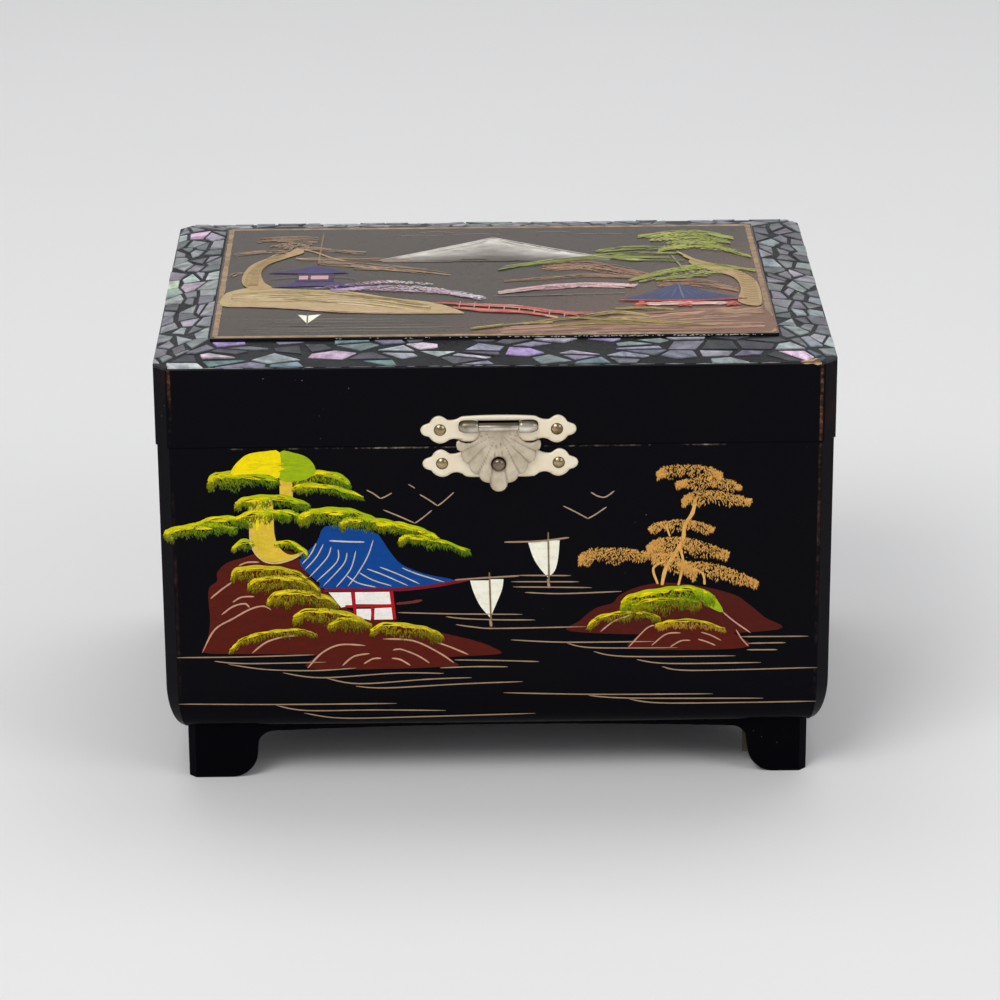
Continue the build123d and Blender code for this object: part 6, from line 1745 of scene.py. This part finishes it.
def add_latch():
    slot_half, slot_rise = BARREL_HALF + SLOT_SPARE, LATCH_AXIS[1] - HINGE_PLATE_Z
    slot = [(-slot_half, slot_rise - SLOT_BELOW), (slot_half, slot_rise - SLOT_BELOW),
            (slot_half, slot_rise + SLOT_ABOVE), (-slot_half, slot_rise + SLOT_ABOVE)]
    upper = smooth(mirrored(plate_outline(True)), 2, True)
    plate = stamped("latch_hinge_sheet", upper, [slot], (LATCH_X, HINGE_PLATE_Z), HINGE_PLATE_BACK / MM,
                    no_relief, even_tone, PLATE_GRID, "lid", LATCH)
    offset = slot_half + KNUCKLE_HALF - EAR_OVERLAP
    ears = [knuckle((LATCH_X + s * offset, *LATCH_AXIS), s) for s in (-1, 1)]
    joined_mesh("latch_knuckles", ears, "lid", KNUCKLE_METAL)
    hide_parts("latch_hinge_plate")
    lower = smooth(mirrored(plate_outline(False)), 2, True)
    catch = stamped("latch_catch_sheet", lower, [], (CATCH_X, CATCH_Z), CATCH_PLATE_BACK / MM,
                    no_relief, even_tone, PLATE_GRID, "box", LATCH)
    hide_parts("latch_catch_plate")
    hole = circle(HASP_HOLE, 26, 0, STUD_Z - LATCH_AXIS[1])
    shell = stamped("latch_hasp_shell", mirrored(HASP_HALF), [hole], (LATCH_X, LATCH_AXIS[1]),
                    LATCH_AXIS[0] + PLATE_THICK, hasp_relief, hasp_tone, HASP_GRID, "hasp", LATCH_SHELL)
    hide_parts("latch_hasp")
    joined_mesh("latch_hasp_barrel", [barrel()], "hasp", KNUCKLE_METAL)
    for name, back, body, cx, cz in (
        ("latch_upper_nail_rings", HINGE_PLATE_BACK, "lid", LATCH_X, HINGE_PLATE_Z),
        ("latch_lower_nail_rings_and_stud_shade", CATCH_PLATE_BACK, "box", CATCH_X, CATCH_Z),
    ):
        rings = Sketch(name, upright_plane(back - PLATE_THICK * MM), body, TARNISH_AND_SHADE, "latch_metal")
        for s in (-1, 1):
            rings.slab(circle(NAIL_RING, 24, cx + s * NAIL_X, cz), WHITE, 0.01, 0.1, 0.05)
        # Painted shade: a dark ring on the catch plate, seen through the hasp's hole round the stud
        if body == "box":
            rings.slab(circle(STUD_SHADE_RING, 30, LATCH_X, STUD_Z), WHITE, 0.01, 0.08)
        rings.build()
    hinge_face = upright_plane(HINGE_PLATE_BACK - PLATE_THICK * MM)
    # Painted shade: a dark rim on the hinge plate round each knuckle
    for side, x in (("left", LATCH_X - offset), ("right", LATCH_X + offset)):
        shade = Sketch("latch_knuckle_shade_" + side, hinge_face, "lid", TARNISH_AND_SHADE, "latch_metal")
        outline = []
        for i in range(40):
            a = 2 * math.pi * i / 40
            outline.append((x + (KNUCKLE_HALF + 0.25) * boxed(math.cos(a)),
                            LATCH_AXIS[1] + (KNUCKLE_HEIGHT + 0.2) * boxed(math.sin(a))))
        shade.slab(outline, WHITE, 0.01, 0.06)
        shade.build()


# Padded pieces inside: cushioned floors and ring rolls


def add_cushion(points, faces, low, high, crown, rows, columns):
    """A crowned closed pad inside a box, its sides drawn in between the corners."""
    start = len(points)
    cx, cy = (low.x + high.x) / 2, (low.y + high.y) / 2
    hx, hy = (high.x - low.x) / 2, (high.y - low.y) / 2
    rim = low.z + (high.z - low.z) * 0.3
    for level in (0, 1):
        for j in range(rows + 1):
            for i in range(columns + 1):
                s, t = 2 * i / columns - 1, 2 * j / rows - 1
                s, t = math.sin(s * math.pi / 2), math.sin(t * math.pi / 2)
                x = cx + hx * s * (1 - 0.006 * (1 - t * t))
                y = cy + hy * t * (1 - 0.012 * (1 - s * s))
                z = low.z
                if level:
                    swell = ((1 - abs(s) ** crown) * (1 - abs(t) ** crown)) ** 0.5
                    z = rim + (high.z - rim) * swell
                    sway = 1.3 * math.sin(y / MM * 0.12)
                    ripple = math.sin(x / MM * 0.21 + sway) * math.sin(y / MM * 0.17)
                    z += 0.14 * MM * ripple * swell - 0.14 * MM * swell
                points.append((x, y, z))
    layer = (rows + 1) * (columns + 1)
    for j in range(rows):
        for i in range(columns):
            a = start + j * (columns + 1) + i
            b, c, d = a + 1, a + columns + 2, a + columns + 1
            faces.append((d, c, b, a))
            faces.append((layer + a, layer + b, layer + c, layer + d))
    ring = [start + i for i in range(columns)]
    ring += [start + columns + j * (columns + 1) for j in range(rows)]
    ring += [start + layer - 1 - i for i in range(columns)]
    ring += [start + layer - 1 - columns - j * (columns + 1) for j in range(rows)]
    for a, b in edges_of(ring):
        faces.append((a, b, b + layer, a + layer))


def padded_piece(name, boxes, crown, rows, columns, node):
    points, faces = [], []
    for low, high in boxes:
        add_cushion(points, faces, low, high, crown, rows, columns)
    piece = joined_mesh(name, [(points, faces)], "box", VELVET)
    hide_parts(node)


def add_pads():
    low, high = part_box("floor_pads")
    wall_near, wall_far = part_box("well_divider")
    gap = 0.3 * MM
    front = (low, Vector((high.x, wall_near.y - gap, high.z)))
    back = (Vector((low.x, wall_far.y + gap, low.z)), high)
    padded_piece("floor_cushions", [front, back], 5.0, 30, 40, "floor_pads")
    low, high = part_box("ring_rolls")
    pitch = (high.y - low.y - ROLL_WIDTH) / (ROLL_COUNT - 1)
    boxes = []
    for k in range(ROLL_COUNT):
        y = low.y + k * pitch
        boxes.append((Vector((low.x, y, low.z)), Vector((high.x, y + ROLL_WIDTH, high.z))))
    padded_piece("ring_roll_cushions", boxes, 2.4, 16, 40, "ring_rolls")


shell_strip("front", 5.4, 2.1, 0.5, 0.86, FRONT_SHELL, FRONT_ACCENT, 0.18)
shell_strip("back", 5.6, 1.4, 0.4, 0.95, RIGHT_SHELL, LEFT_SHELL, 0.3)
shell_strip("left", 6.4, 1.3, 0.36, 1.0, LEFT_SHELL, LEFT_ACCENT, 0.08)
shell_strip("right", 6.2, 1.3, 0.38, 0.98, RIGHT_SHELL, RIGHT_ACCENT, 0.15)
scuffs()
panel_border()
top_picture()
front_picture()
add_latch()
add_pads()


# Camera at the photograph's angle: its place in millimetres, then yaw, pitch and roll in degrees


EYE = (-15.56, -1342.2, 578.9)
VIEW_ANGLES = (0.7617, 20.6208, -0.3578)
SENSOR, LENS = 36.0, 142.9


def add_camera():
    yaw, pitch, roll = (math.radians(a) for a in VIEW_ANGLES)
    forward = Vector((math.sin(yaw) * math.cos(pitch), math.cos(yaw) * math.cos(pitch), -math.sin(pitch)))
    level = Vector((math.cos(yaw), -math.sin(yaw), 0))
    upward = level.cross(forward)
    right = math.cos(roll) * level + math.sin(roll) * upward
    up = math.cos(roll) * upward - math.sin(roll) * level
    data = bpy.data.cameras.new("camera")
    data.sensor_width = SENSOR
    data.lens = LENS
    data.clip_start, data.clip_end = 0.05, 50.0
    camera = add_object("camera", data)
    rotation = Matrix((right, up, -forward)).transposed().to_4x4()
    camera.matrix_world = Matrix.Translation(Vector(EYE) * MM) @ rotation
    bpy.context.scene.camera = camera


def add_floor():
    """Pale floor that curves up into a backdrop."""
    half, back, front, radius, height = 4.0, 1.6, -4.0, 0.8, 3.0
    profile = [(front, 0.0), (back, 0.0)]
    steps = 16
    for i in range(1, steps + 1):
        a = math.pi / 2 * i / steps
        profile.append((back + radius * math.sin(a), radius - radius * math.cos(a)))
    profile.append((back + radius, height))
    points, faces = [], []
    for y, z in profile:
        points += [(-half, y, z), (half, y, z)]
    for i in range(len(profile) - 1):
        a = 2 * i
        faces.append((a, a + 1, a + 3, a + 2))
    mesh = new_mesh("studio_floor", points, faces)
    for face in mesh.polygons:
        face.use_smooth = True
    m = Nodes("studio_floor")
    n = m.noise(3.0, 3.0)
    colour = m.mix(n, (0.8, 0.795, 0.785), (0.84, 0.835, 0.825))
    m.set(m.shader, "Specular IOR Level", 0.1)
    mesh.materials.append(m.finish(Base_Color=colour, Roughness=0.8))
    floor = add_object("studio_floor", mesh)


def add_light(name, place, aim, size, power):
    """A soft rectangular light; lengths in metres, power in watts."""
    data = bpy.data.lights.new(name, "AREA")
    data.shape = "RECTANGLE"
    data.size, data.size_y = size
    data.energy = power
    light = add_object(name, data)
    light.location = place
    direction = Vector(aim) - Vector(place)
    light.rotation_euler = direction.to_track_quat("-Z", "Y").to_euler()


def add_world():
    world = bpy.data.worlds.new("studio")
    bpy.context.scene.world = world
    world.use_nodes = True
    background = world.node_tree.nodes["Background"]
    background.inputs["Color"].default_value = (0.92, 0.94, 1.0, 1)
    background.inputs["Strength"].default_value = 0.42


add_camera()
add_floor()
add_light("key_light", (-0.9, -1.3, 1.9), (0, 0, 0.08), (1.2, 1.2), 22.0)
add_light("fill_light", (1.5, -1.0, 1.1), (0, 0, 0.08), (1.0, 1.0), 7.0)
add_light("top_light", (0.1, 0.7, 2.0), (0, 0, 0.1), (1.8, 1.0), 14.0)
add_world()

bpy.context.scene.view_settings.view_transform = "Standard"
